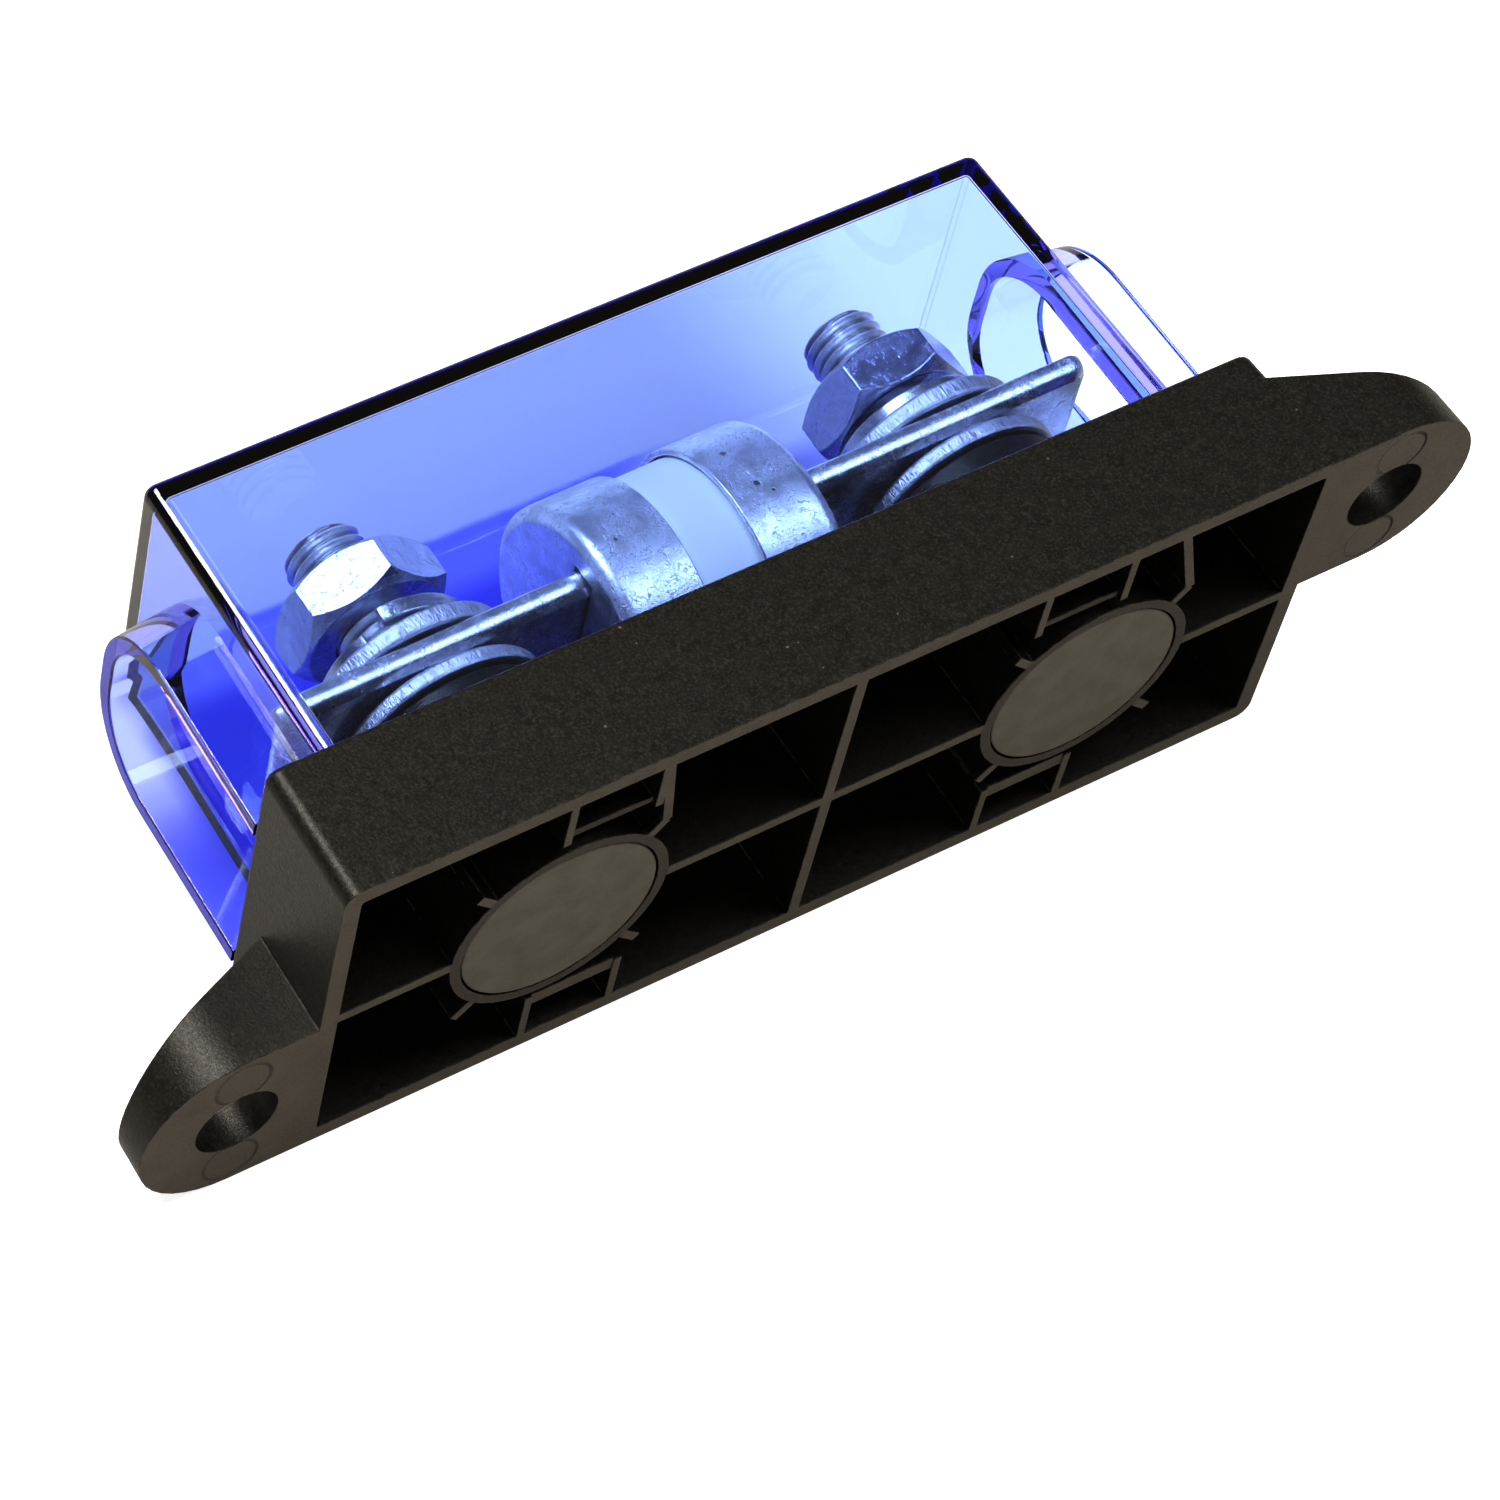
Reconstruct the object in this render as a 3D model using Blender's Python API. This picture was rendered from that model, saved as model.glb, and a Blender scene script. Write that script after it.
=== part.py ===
"""Class T fuse block: a moulded base with two stud terminals, a bolted fuse and a clear lift-off cover.

The block stands on its underside. X runs along its length, the long walls face -Y and +Y, and +Z runs from
the underside through the studs to the top of the cover. Left is -X and right is +X.
"""

from math import cos, pi, radians, sin, sqrt, tan

import bmesh
import bpy
from mathutils import Matrix, Vector

MM = 0.001

# Clearances between pieces
SEAT_GAP = 0.25 * MM
SLIDE_GAP = 0.3 * MM
OVERSHOOT = 1.0 * MM

# Base shell
BASE_LENGTH = 134.3 * MM
BASE_WIDTH = 51.4 * MM
BASE_HEIGHT = 18.55 * MM
BASE_DRAFT = 0.75 * MM
BASE_CORNER_RADIUS = 2.0 * MM
BASE_TOP_FILLET = 0.8 * MM
RIM_WALL = 2.2 * MM
TOP_PLATE = 2.5 * MM
CAVITY_DRAFT = 0.5 * MM
CAVITY_CORNER_RADIUS = 0.6 * MM

# Ribs, bosses and snap pockets under the base
CROSS_RIB_WALL = 1.5 * MM
BOSS_SPACING = 72.16 * MM
BOSS_RADIUS = 14.3 * MM
BOSS_BORE_RADIUS = 13.0 * MM
BOSS_RIB_WALL = 1.2 * MM
BOSS_RIB_REACH = 17.3 * MM
BOSS_RIB_TURNS = (radians(-135), radians(135), radians(45))
BENT_RIB_TURN = radians(-43.5)
BENT_RIB_ELBOW = (12.2 * MM, -12.0 * MM)
BENT_RIB_FOOT_LEFT = 10.6 * MM
BENT_RIB_FOOT_RIGHT = 8.5 * MM
POCKET_SPACING = 63.4 * MM
POCKET_WIDTH = 11.0 * MM
POCKET_WALL = 1.0 * MM
POCKET_FRONT_Y = 17.0 * MM
POCKET_BACK_Y = 17.6 * MM
POCKET_BACK_WALL = 2.1 * MM
POCKET_FRONT_RECESS = 0.8 * MM
POCKET_BACK_RECESS = 0.3 * MM

# Mounting ears
EAR_RADIUS = 12.4 * MM
EAR_SET_IN = 0.02 * MM
EAR_HOLE_X = 76.3 * MM
EAR_HOLE_DIAMETER = 10.6 * MM
EAR_ROOT_HEIGHT = 13.9 * MM
EAR_TIP_HEIGHT = 4.9 * MM
EAR_SEAT_RADIUS = 9.0 * MM
EAR_SEAT_HEIGHT = 4.5 * MM

# Terminals: a pedestal, a captive hex-head stud and the pieces stacked on it
TERMINAL_SHIFT = 1.1 * MM
PEDESTAL_RADIUS = 12.6 * MM
PLUG_THICKNESS = 3.0 * MM
PLUG_CHAMFER = 0.15 * MM
STUD_DIAMETER = 10.0 * MM
STUD_TIP_CLEARANCE = 3.3 * MM
STUD_TIP_CHAMFER = 1.0 * MM
STUD_HEAD_ACROSS_FLATS = 17.0 * MM
STUD_HEAD_THICKNESS = 6.4 * MM
STUD_HOLE_CLEARANCE = 0.35 * MM
CONTACT_WASHER_RADIUS = 13.3 * MM
CONTACT_WASHER_THICKNESS = 2.1 * MM
CONTACT_WASHER_CROWN = 0.85 * MM
CONTACT_WASHER_SLOPE = 3.5 * MM
FLAT_WASHER_RADIUS = 12.6 * MM
FLAT_WASHER_THICKNESS = 2.5 * MM
LOCK_WASHER_RADIUS = 9.9 * MM
LOCK_WASHER_SECTION = 2.2 * MM
LOCK_WASHER_RISE_LEFT = 1.8 * MM
LOCK_WASHER_RISE_RIGHT = 1.3 * MM
LOCK_WASHER_CURL = 3
LOCK_WASHER_SPLIT = radians(16)
LOCK_SPLIT_ANGLE_LEFT = radians(245)
LOCK_SPLIT_ANGLE_RIGHT = radians(60)
NUT_ACROSS_FLATS = 18.3 * MM
NUT_HEIGHT = 7.0 * MM
NUT_CROWN_SHARE = 0.96
NUT_CHAMFER_ANGLE = radians(40)
NUT_TURN_LEFT = radians(-22)
NUT_TURN_RIGHT = radians(-9)
NUT_BACKED_OFF_LEFT = 1.9 * MM
EDGE_ROUNDING = 0.3 * MM

# Fuse: its axis lies above the base's top plate, a little off the middle and higher at its right end
FUSE_AXIS_LIFT = 12.9 * MM
FUSE_SHIFT = -0.5 * MM
FUSE_TILT = radians(0.8)
CAP_RADIUS = 16.35 * MM
CAP_WALL = 0.8 * MM
CAP_END_WALL = 2.4 * MM
CAP_END_ROUNDING = 1.8 * MM
BODY_LENGTH = 30.0 * MM
TUBE_SHOWN = 8.4 * MM
TUBE_WALL = 2.6 * MM
BLADE_OFFSET = 0.45 * MM
BLADE_THICKNESS = 3.1 * MM
BLADE_WIDTH = 24.0 * MM
BLADE_REACH_LEFT = 54.6 * MM
BLADE_REACH_RIGHT = 56.2 * MM
BLADE_EDGE_ROUNDING = 0.5 * MM
BLADE_CORNER_RADIUS = 2.0 * MM
BLADE_HOLE_LENGTH = 16.0 * MM
BLADE_HOLE_WIDTH = 11.0 * MM
BLADE_INNER_END = 10.6 * MM
LINK_WIDTH = 8.0 * MM
LINK_THICKNESS = 0.5 * MM
LINK_NECK_WIDTH = 3.0 * MM
LINK_NECK_PITCH = 6.0 * MM
TROUGH_CLEARANCE = 1.0 * MM
TROUGH_WALL = 2.2 * MM

# Cover
COVER_TOP_HEIGHT = 61.0 * MM
COVER_TOP_LENGTH = 114.0 * MM
COVER_TOP_WIDTH = 39.0 * MM
COVER_DRAFT = 0.95 * MM
COVER_WALL = 2.0 * MM
COVER_CORNER_RADIUS = 2.4 * MM
COVER_TOP_ROUNDING = 1.3 * MM
HOOD_HALF_WIDTH = 14.0 * MM
HOOD_CROWN_HEIGHT = 52.5 * MM
HOOD_CORNER_RADIUS = 12.1 * MM
HOOD_FLARE = 1.2 * MM
HOOD_RISE = 0.6 * MM
HOOD_WALL = 2.3 * MM
HOOD_REACH_FOOT = 66.2 * MM
HOOD_REACH_CROWN = 65.2 * MM
TONGUE_WIDTH = 9.0 * MM
TONGUE_THICKNESS = 1.6 * MM
TONGUE_TIP_HEIGHT = 7.0 * MM
TONGUE_BARB = 0.5 * MM
TONGUE_BARB_LENGTH = 5.0 * MM

ARC_STEPS = 5
TROUGH_STEPS = 12
EAR_STEPS = 20
ROUND_SIDES = 48

CAVITY_HEIGHT = BASE_HEIGHT - TOP_PLATE
BOSS_X = BOSS_SPACING / 2
EAR_HOLE_Y = BASE_WIDTH / 2 - EAR_RADIUS - EAR_SET_IN
FUSE_END = BODY_LENGTH / 2
SIDES = {"left": -1, "right": 1}


# Heights that follow from the fuse


def terminal_x(side):
    return SIDES[side] * BOSS_X + TERMINAL_SHIFT


def fuse_axis_height():
    return BASE_HEIGHT + FUSE_AXIS_LIFT


def blade_level(side):
    """Height of the middle of a blade at its stud."""
    climb = (terminal_x(side) - FUSE_SHIFT) * tan(FUSE_TILT)
    return fuse_axis_height() + BLADE_OFFSET / cos(FUSE_TILT) + climb


def tilt_allowance(radius):
    """How far a tilted blade leaves the level over a washer of this radius."""
    return radius * tan(FUSE_TILT)


def contact_top(side):
    return blade_level(side) - BLADE_THICKNESS / 2 - SEAT_GAP - tilt_allowance(CONTACT_WASHER_RADIUS)


def pedestal_height(side):
    return contact_top(side) - CONTACT_WASHER_CROWN - CONTACT_WASHER_THICKNESS - SEAT_GAP


def stud_tip_height():
    return COVER_TOP_HEIGHT - COVER_WALL - STUD_TIP_CLEARANCE


# Scene helpers


def clear_scene():
    for obj in list(bpy.data.objects):
        bpy.data.objects.remove(obj)


def material(name, colour, roughness, metallic=0.0, alpha=1.0):
    made = bpy.data.materials.new(name)
    made.use_nodes = True
    shader = made.node_tree.nodes["Principled BSDF"]
    shader.inputs["Base Color"].default_value = (*colour, 1.0)
    shader.inputs["Roughness"].default_value = roughness
    shader.inputs["Metallic"].default_value = metallic
    shader.inputs["Alpha"].default_value = alpha
    made.diffuse_color = (*colour, alpha)
    return made


def piece(name, mesh_maker, finish=None, location=(0, 0, 0)):
    """An object whose mesh the maker fills in, with its normals facing out."""
    mesh = bpy.data.meshes.new(name)
    bm = bmesh.new()
    mesh_maker(bm)
    bmesh.ops.recalc_face_normals(bm, faces=bm.faces)
    bm.to_mesh(mesh)
    bm.free()
    obj = bpy.data.objects.new(name, mesh)
    obj.location = location
    bpy.context.collection.objects.link(obj)
    if finish:
        mesh.materials.append(finish)
    return obj


def helper(name, mesh_maker, location=(0, 0, 0)):
    """A shape that only cuts or joins others, so it is drawn as wire and never rendered."""
    obj = piece(name, mesh_maker, location=location)
    obj.hide_render = True
    obj.display_type = "WIRE"
    return obj


def boolean(target, other, operation):
    made = target.modifiers.new(other.name, "BOOLEAN")
    made.operation = operation
    made.object = other
    made.solver = "EXACT"
    return made


def bevel(target, width, segments=2, angle=radians(50)):
    made = target.modifiers.new("edge rounding", "BEVEL")
    made.width = width
    made.segments = segments
    made.limit_method = "ANGLE"
    made.angle_limit = angle
    return made


def shade_round(obj, angle=radians(35)):
    obj.data.shade_smooth()
    obj.data.set_sharp_from_angle(angle=angle)


# Outlines, as lists of points in a plane


def arc(centre, radius, start, end, steps=ARC_STEPS):
    x, y = centre
    turns = [start + (end - start) * i / steps for i in range(steps + 1)]
    return [(x + radius * cos(turn), y + radius * sin(turn)) for turn in turns]


def circle(radius, sides=ROUND_SIDES, centre=(0, 0)):
    return arc(centre, radius, 0, 2 * pi, sides)[:-1]


def hexagon(across_flats, turn=0.0):
    return [(across_flats / sqrt(3) * cos(turn + k * pi / 3), across_flats / sqrt(3) * sin(turn + k * pi / 3))
            for k in range(6)]


def rounded_rectangle(length, width, radius, steps=ARC_STEPS):
    x, y = length / 2 - radius, width / 2 - radius
    points = []
    for quarter, (sx, sy) in enumerate(((1, 1), (-1, 1), (-1, -1), (1, -1))):
        points += arc((sx * x, sy * y), radius, quarter * pi / 2, (quarter + 1) * pi / 2, steps)
    return points


def slot_outline(length, width, steps=8):
    """A slot along X with round ends."""
    reach = (length - width) / 2
    right = arc((reach, 0), width / 2, -pi / 2, pi / 2, steps)
    left = arc((-reach, 0), width / 2, pi / 2, 3 * pi / 2, steps)
    return right + left


def arch_outline(half_width, crown, radius, foot, steps=8):
    """A doorway outline in Y and Z: straight legs, a wide arc at each shoulder and a short flat crown."""
    right = arc((half_width - radius, crown - radius), radius, 0, pi / 2, steps)
    left = arc((radius - half_width, crown - radius), radius, pi / 2, pi, steps)
    return [(half_width, foot)] + right + left + [(-half_width, foot)]


# Solids from outlines


def loft(bm, rings):
    """Joins closed rings of equal length into a skin and caps both ends."""
    loops = [[bm.verts.new(point) for point in ring] for ring in rings]
    count = len(loops[0])
    for lower, upper in zip(loops, loops[1:]):
        for i in range(count):
            j = (i + 1) % count
            bm.faces.new((lower[i], lower[j], upper[j], upper[i]))
    bm.faces.new(reversed(loops[0]))
    bm.faces.new(loops[-1])


def prism(outline, low, high):
    """A maker of an upright prism between two heights."""
    def make(bm):
        loft(bm, [[(x, y, z) for x, y in outline] for z in (low, high)])
    return make


def prism_along_x(outline, low, high):
    """A maker of a prism along X from an outline in Y and Z."""
    def make(bm):
        loft(bm, [[(x, y, z) for y, z in outline] for x in (low, high)])
    return make


def turned(profile, sides=ROUND_SIDES):
    """A maker that spins a profile about Z. One that meets the axis isn't closed there."""
    on_axis = [point for point in profile if point[0] == 0.0]

    def make(bm):
        ring = [bm.verts.new((radius, 0, height)) for radius, height in profile]
        ends = list(zip(ring, ring[1:])) if on_axis else list(zip(ring, ring[1:] + ring[:1]))
        edges = [bm.edges.new(pair) for pair in ends]
        bmesh.ops.spin(bm, geom=ring + edges, axis=(0, 0, 1), cent=(0, 0, 0), angle=2 * pi, steps=sides)
        bmesh.ops.remove_doubles(bm, verts=bm.verts, dist=MM / 1000)
    return make


def turned_along_x(profile, sides=ROUND_SIDES):
    """A maker that spins a closed profile of radius and X position about X."""
    def make(bm):
        turned(profile, sides)(bm)
        bmesh.ops.rotate(bm, verts=bm.verts, cent=(0, 0, 0), matrix=Matrix.Rotation(pi / 2, 3, "Y"))
    return make


def wall_between(start, end, thickness, low, high):
    """A maker of a straight upright wall of one thickness between two points."""
    along = Vector(end) - Vector(start)
    across = Vector((-along.y, along.x)).normalized() * thickness / 2
    corners = [Vector(start) - across, Vector(end) - across, Vector(end) + across, Vector(start) + across]
    return prism([(corner.x, corner.y) for corner in corners], low, high)


def box(low, high):
    outline = [(low[0], low[1]), (high[0], low[1]), (high[0], high[1]), (low[0], high[1])]
    return prism(outline, low[2], high[2])


def drafted_block(length, width, height, draft, corner, top_rounding, foot=0.0):
    """A maker of a block that narrows upwards, with round corners and a rounded top edge."""
    def make(bm):
        shoulder = height - top_rounding
        levels = [(foot, 0.0), (shoulder, 0.0)]
        levels += [(shoulder + rise, inset) for inset, rise in top_arc(top_rounding)]
        rings = []
        for z, inset in levels:
            spread = 2 * draft * (height - z) / height - 2 * inset
            outline = rounded_rectangle(length + spread, width + spread, max(corner - inset, corner / 4))
            rings.append([(x, y, z) for x, y in outline])
        loft(bm, rings)
    return make


def top_arc(radius, steps=3):
    """Inset and rise of the points of a rounded top edge."""
    turns = [pi / 2 * i / steps for i in range(1, steps + 1)]
    return [(radius * (1 - cos(turn)), radius * sin(turn)) for turn in turns]


# Base moulding


def base_shell():
    return drafted_block(
        BASE_LENGTH - 2 * BASE_DRAFT, BASE_WIDTH - 2 * BASE_DRAFT, BASE_HEIGHT, BASE_DRAFT,
        BASE_CORNER_RADIUS, BASE_TOP_FILLET, -OVERSHOOT)


def ear_outline(level):
    """The right ear's points at the heights that a function of x gives, its flanks leaning as the walls do.

    Straight flanks run out of the wall, past its round corner, to a half-round end about the hole.
    """
    root = BASE_LENGTH / 2 - BASE_DRAFT - BASE_CORNER_RADIUS - EAR_SET_IN
    turns = [-pi / 2 + pi * i / EAR_STEPS for i in range(EAR_STEPS + 1)]
    across = [(EAR_HOLE_X + EAR_RADIUS * cos(turn), turn) for turn in turns]
    points = []
    for x, turn in [(root, turns[0])] + across + [(root, turns[-1])]:
        radius = EAR_RADIUS - BASE_DRAFT * level(x) / BASE_HEIGHT
        reach = root if x == root else EAR_HOLE_X + radius * cos(turn)
        points.append((reach, radius * sin(turn) - EAR_HOLE_Y, level(reach)))
    return points


def ear_height(x):
    """The ear's top slopes evenly from the end wall to the tip."""
    root = BASE_LENGTH / 2 - BASE_DRAFT
    tip = EAR_HOLE_X + EAR_RADIUS
    return EAR_ROOT_HEIGHT + (EAR_TIP_HEIGHT - EAR_ROOT_HEIGHT) * (x - root) / (tip - root)


def ear_block(bm):
    """Both ears: the left one is the right one turned half round."""
    rings = [ear_outline(lambda x: -OVERSHOOT), ear_outline(ear_height)]
    for side in (1, -1):
        loft(bm, [[(side * x, side * y, z) for x, y, z in ring] for ring in rings])


def ear_holes(bm):
    for side in (1, -1):
        centre = (side * EAR_HOLE_X, -side * EAR_HOLE_Y)
        prism(circle(EAR_HOLE_DIAMETER / 2, 32, centre), -2 * OVERSHOOT, EAR_ROOT_HEIGHT)(bm)


def ear_seats(bm):
    for side in (1, -1):
        centre = (side * EAR_HOLE_X, -side * EAR_HOLE_Y)
        prism(circle(EAR_SEAT_RADIUS, 32, centre), EAR_SEAT_HEIGHT, 2 * EAR_ROOT_HEIGHT)(bm)


def cavity(bm):
    """The hollow under the top plate, a little narrower at its ceiling."""
    length = BASE_LENGTH - 2 * RIM_WALL
    width = BASE_WIDTH - 2 * RIM_WALL
    loft(bm, [
        [(x, y, z) for x, y in rounded_rectangle(length - inset, width - inset, CAVITY_CORNER_RADIUS)]
        for z, inset in ((-2 * OVERSHOOT, 0.0), (CAVITY_HEIGHT, 2 * CAVITY_DRAFT))])


def rib_makers():
    """The straight walls that stand in the cavity, from below the underside into the top plate."""
    low, high = -OVERSHOOT, CAVITY_HEIGHT + OVERSHOOT
    end = BASE_LENGTH / 2 - RIM_WALL / 2
    flank = BASE_WIDTH / 2 - RIM_WALL / 2
    yield wall_between((-end, 0), (end, 0), CROSS_RIB_WALL, low, high)
    yield wall_between((0, -flank), (0, flank), CROSS_RIB_WALL, low, high)
    for side in SIDES.values():
        centre = side * BOSS_X
        inner = BOSS_RADIUS - OVERSHOOT
        for turn in BOSS_RIB_TURNS:
            yield wall_between(
                (centre + inner * cos(turn), inner * sin(turn)),
                (centre + BOSS_RIB_REACH * cos(turn), BOSS_RIB_REACH * sin(turn)),
                BOSS_RIB_WALL, low, high)
        foot = centre + (BENT_RIB_FOOT_LEFT if side < 0 else BENT_RIB_FOOT_RIGHT)
        elbow = (centre + BENT_RIB_ELBOW[0], BENT_RIB_ELBOW[1])
        root = (centre + inner * cos(BENT_RIB_TURN), inner * sin(BENT_RIB_TURN))
        yield wall_between(root, elbow, BOSS_RIB_WALL, low, high)
        yield wall_between(elbow, (foot, -flank), BOSS_RIB_WALL, low, high)


def pocket_makers():
    """Three thin walls round each of the four snap pockets."""
    low, high = -OVERSHOOT, CAVITY_HEIGHT + OVERSHOOT
    flank = BASE_WIDTH / 2 - RIM_WALL / 2
    rows = (
        (-1, POCKET_FRONT_Y, POCKET_WALL, POCKET_FRONT_RECESS),
        (1, POCKET_BACK_Y, POCKET_BACK_WALL, POCKET_BACK_RECESS))
    for side_x in SIDES.values():
        for side_y, inner, thickness, recess in rows:
            middle = side_x * POCKET_SPACING / 2
            near = side_y * (inner - thickness)
            for end in (-1, 1):
                x = middle + end * (POCKET_WIDTH + POCKET_WALL) / 2
                yield wall_between((x, near), (x, side_y * flank), POCKET_WALL, low, high)
            reach = (POCKET_WIDTH + POCKET_WALL) / 2
            level = side_y * (inner - thickness / 2)
            yield wall_between((middle - reach, level), (middle + reach, level), thickness, recess, high)


def tongue_slots(bm):
    """Openings in the top plate that pass the cover's tongues, barbs included."""
    for side_x in SIDES.values():
        for side_y in SIDES.values():
            middle = side_x * POCKET_SPACING / 2
            reach = TONGUE_WIDTH / 2 + SLIDE_GAP
            near = tongue_inner_y() - TONGUE_BARB - SLIDE_GAP
            far = tongue_inner_y() + TONGUE_THICKNESS + SLIDE_GAP
            low_y, high_y = sorted((side_y * near, side_y * far))
            box((middle - reach, low_y, CAVITY_HEIGHT - OVERSHOOT),
                (middle + reach, high_y, BASE_HEIGHT + OVERSHOOT))(bm)


def trough_block():
    """The bulge under the top plate that carries the trough for the fuse body."""
    radius = CAP_RADIUS + TROUGH_CLEARANCE + TROUGH_WALL
    level = CAVITY_HEIGHT + TOP_PLATE / 2
    down = fuse_axis_height() - level
    turn = half_chord_angle(sqrt(radius ** 2 - down ** 2), down)
    outline = arc((0, fuse_axis_height()), radius, -pi / 2 - turn, -pi / 2 + turn, TROUGH_STEPS)
    reach = FUSE_END + TROUGH_CLEARANCE + TROUGH_WALL
    return prism_along_x(outline, FUSE_SHIFT - reach, FUSE_SHIFT + reach)


def half_chord_angle(across, down):
    """Half the angle that a chord makes at its circle's centre."""
    return Vector((down, across)).angle(Vector((1, 0)))


def trough(bm):
    """The trough itself: a cylinder lying along X round the fuse body."""
    outline = [(y, fuse_axis_height() + z) for y, z in circle(CAP_RADIUS + TROUGH_CLEARANCE)]
    reach = FUSE_END + TROUGH_CLEARANCE
    prism_along_x(outline, FUSE_SHIFT - reach, FUSE_SHIFT + reach)(bm)


def boss_block(bm):
    """Bosses under the top plate: solid rounds that the bores are cut from."""
    for side in SIDES.values():
        prism(circle(BOSS_RADIUS, ROUND_SIDES, (side * BOSS_X, 0)), -OVERSHOOT, CAVITY_HEIGHT + OVERSHOOT)(bm)


def pedestal_block(bm):
    """Pedestals on the top plate, with a small chamfer under the contact washers."""
    for side in SIDES:
        height = pedestal_height(side)
        levels = (
            (BASE_HEIGHT - OVERSHOOT, PEDESTAL_RADIUS),
            (height - EDGE_ROUNDING, PEDESTAL_RADIUS),
            (height, PEDESTAL_RADIUS - EDGE_ROUNDING))
        centre = (terminal_x(side), 0)
        loft(bm, [[(x, y, z) for x, y in circle(radius, ROUND_SIDES, centre)] for z, radius in levels])


def plug_bores(bm):
    for side in SIDES.values():
        prism(circle(BOSS_BORE_RADIUS, ROUND_SIDES, (side * BOSS_X, 0)),
              -2 * OVERSHOOT, PLUG_THICKNESS + SEAT_GAP)(bm)


def head_floor():
    return PLUG_THICKNESS + 2 * SEAT_GAP


def head_pockets(bm):
    """Hex pockets that keep the stud heads from turning."""
    for side in SIDES:
        outline = hexagon(STUD_HEAD_ACROSS_FLATS + 2 * SLIDE_GAP, pi / 6)
        prism([(terminal_x(side) + x, y) for x, y in outline], PLUG_THICKNESS,
              head_floor() + STUD_HEAD_THICKNESS + SEAT_GAP)(bm)


def stud_holes(bm):
    for side in SIDES:
        prism(circle(STUD_DIAMETER / 2 + STUD_HOLE_CLEARANCE, 32, (terminal_x(side), 0)),
              PLUG_THICKNESS + OVERSHOOT, pedestal_height(side) + OVERSHOOT)(bm)


def ground_slab(bm):
    """Everything below the underside, cut off flat."""
    reach = BASE_LENGTH
    box((-reach, -reach, -4 * OVERSHOOT), (reach, reach, 0.0))(bm)


def make_base(finish):
    base = piece("base_moulding", base_shell(), finish)
    boolean(base, helper("ear_block", ear_block), "UNION")
    boolean(base, helper("cavity", cavity), "DIFFERENCE")
    for index, maker in enumerate(rib_makers()):
        boolean(base, helper(f"rib_{index:02d}", maker), "UNION")
    for index, maker in enumerate(pocket_makers()):
        boolean(base, helper(f"pocket_wall_{index:02d}", maker), "UNION")
    boolean(base, helper("boss_block", boss_block), "UNION")
    boolean(base, helper("trough_block", trough_block()), "UNION")
    boolean(base, helper("pedestal_block", pedestal_block), "UNION")
    cutters = {
        "ear_holes": ear_holes, "ear_seats": ear_seats, "tongue_slots": tongue_slots, "trough": trough,
        "plug_bores": plug_bores, "head_pockets": head_pockets, "stud_holes": stud_holes,
        "ground_slab": ground_slab}
    for name, maker in cutters.items():
        boolean(base, helper(name, maker), "DIFFERENCE")
    return base


# Terminal pieces


def plug(bm):
    radius = BOSS_BORE_RADIUS - SLIDE_GAP
    rings = ((0.0, radius - PLUG_CHAMFER), (PLUG_CHAMFER, radius), (PLUG_THICKNESS, radius))
    loft(bm, [[(x, y, z) for x, y in circle(r)] for z, r in rings])


def stud(bm):
    """Hex head below, shank and chamfered tip above, in one turned and headed piece."""
    floor = head_floor()
    top = floor + STUD_HEAD_THICKNESS
    prism(hexagon(STUD_HEAD_ACROSS_FLATS, pi / 6), floor, top)(bm)


def stud_shank(bm):
    radius = STUD_DIAMETER / 2
    low = head_floor() + STUD_HEAD_THICKNESS / 2
    rings = ((low, radius), (stud_tip_height() - STUD_TIP_CHAMFER, radius),
             (stud_tip_height(), radius - STUD_TIP_CHAMFER))
    loft(bm, [[(x, y, z) for x, y in circle(r, 32)] for z, r in rings])


def washer(outer, inner, low, thickness, crown=0.0, slope=0.0):
    """A ring with its edges eased. A crown lifts its top, from a ring one slope's width inside the rim."""
    edge = EDGE_ROUNDING
    high = low + thickness
    profile = [
        (inner, low + edge), (inner + edge, low), (outer - edge, low), (outer, low + edge),
        (outer, high - edge), (outer - edge, high)]
    if crown:
        profile.append((outer - slope, high + crown))
    profile += [(inner + edge, high + crown), (inner, high + crown - edge)]
    return turned(profile)


def split_ring(outer, inner, low, section, rise, split_at, split):
    """A spring washer: a square section swept along one turn, cut at its split and curled up at one end."""
    def make(bm):
        steps = ROUND_SIDES
        corners = ((inner, 0.0), (outer, 0.0), (outer, section), (inner, section))
        rings = []
        for i in range(steps + 1):
            share = i / steps
            turn = split_at + split / 2 + share * (2 * pi - split)
            level = low + (1 - share) ** LOCK_WASHER_CURL * rise
            rings.append([
                (radius * cos(turn), radius * sin(turn), level + height) for radius, height in corners])
        loft(bm, rings)
    return make


def hex_nut(across_flats, low, height, bore, turn):
    """Makers of a hex block, of the double cone that cuts its corners back, and of its bore."""
    crown = across_flats / 2 * NUT_CROWN_SHARE
    wide = across_flats / sqrt(3) + OVERSHOOT
    drop = (wide - crown) * tan(NUT_CHAMFER_ANGLE)
    high = low + height

    def block(bm):
        prism(hexagon(across_flats, turn), low - OVERSHOOT, high + OVERSHOOT)(bm)

    def envelope(bm):
        rings = ((low, crown), (low + drop, wide), (high - drop, wide), (high, crown))
        loft(bm, [[(x, y, z) for x, y in circle(r)] for z, r in rings])

    def hole(bm):
        prism(circle(bore, 32), low - OVERSHOOT, high + OVERSHOOT)(bm)

    return block, envelope, hole


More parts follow.
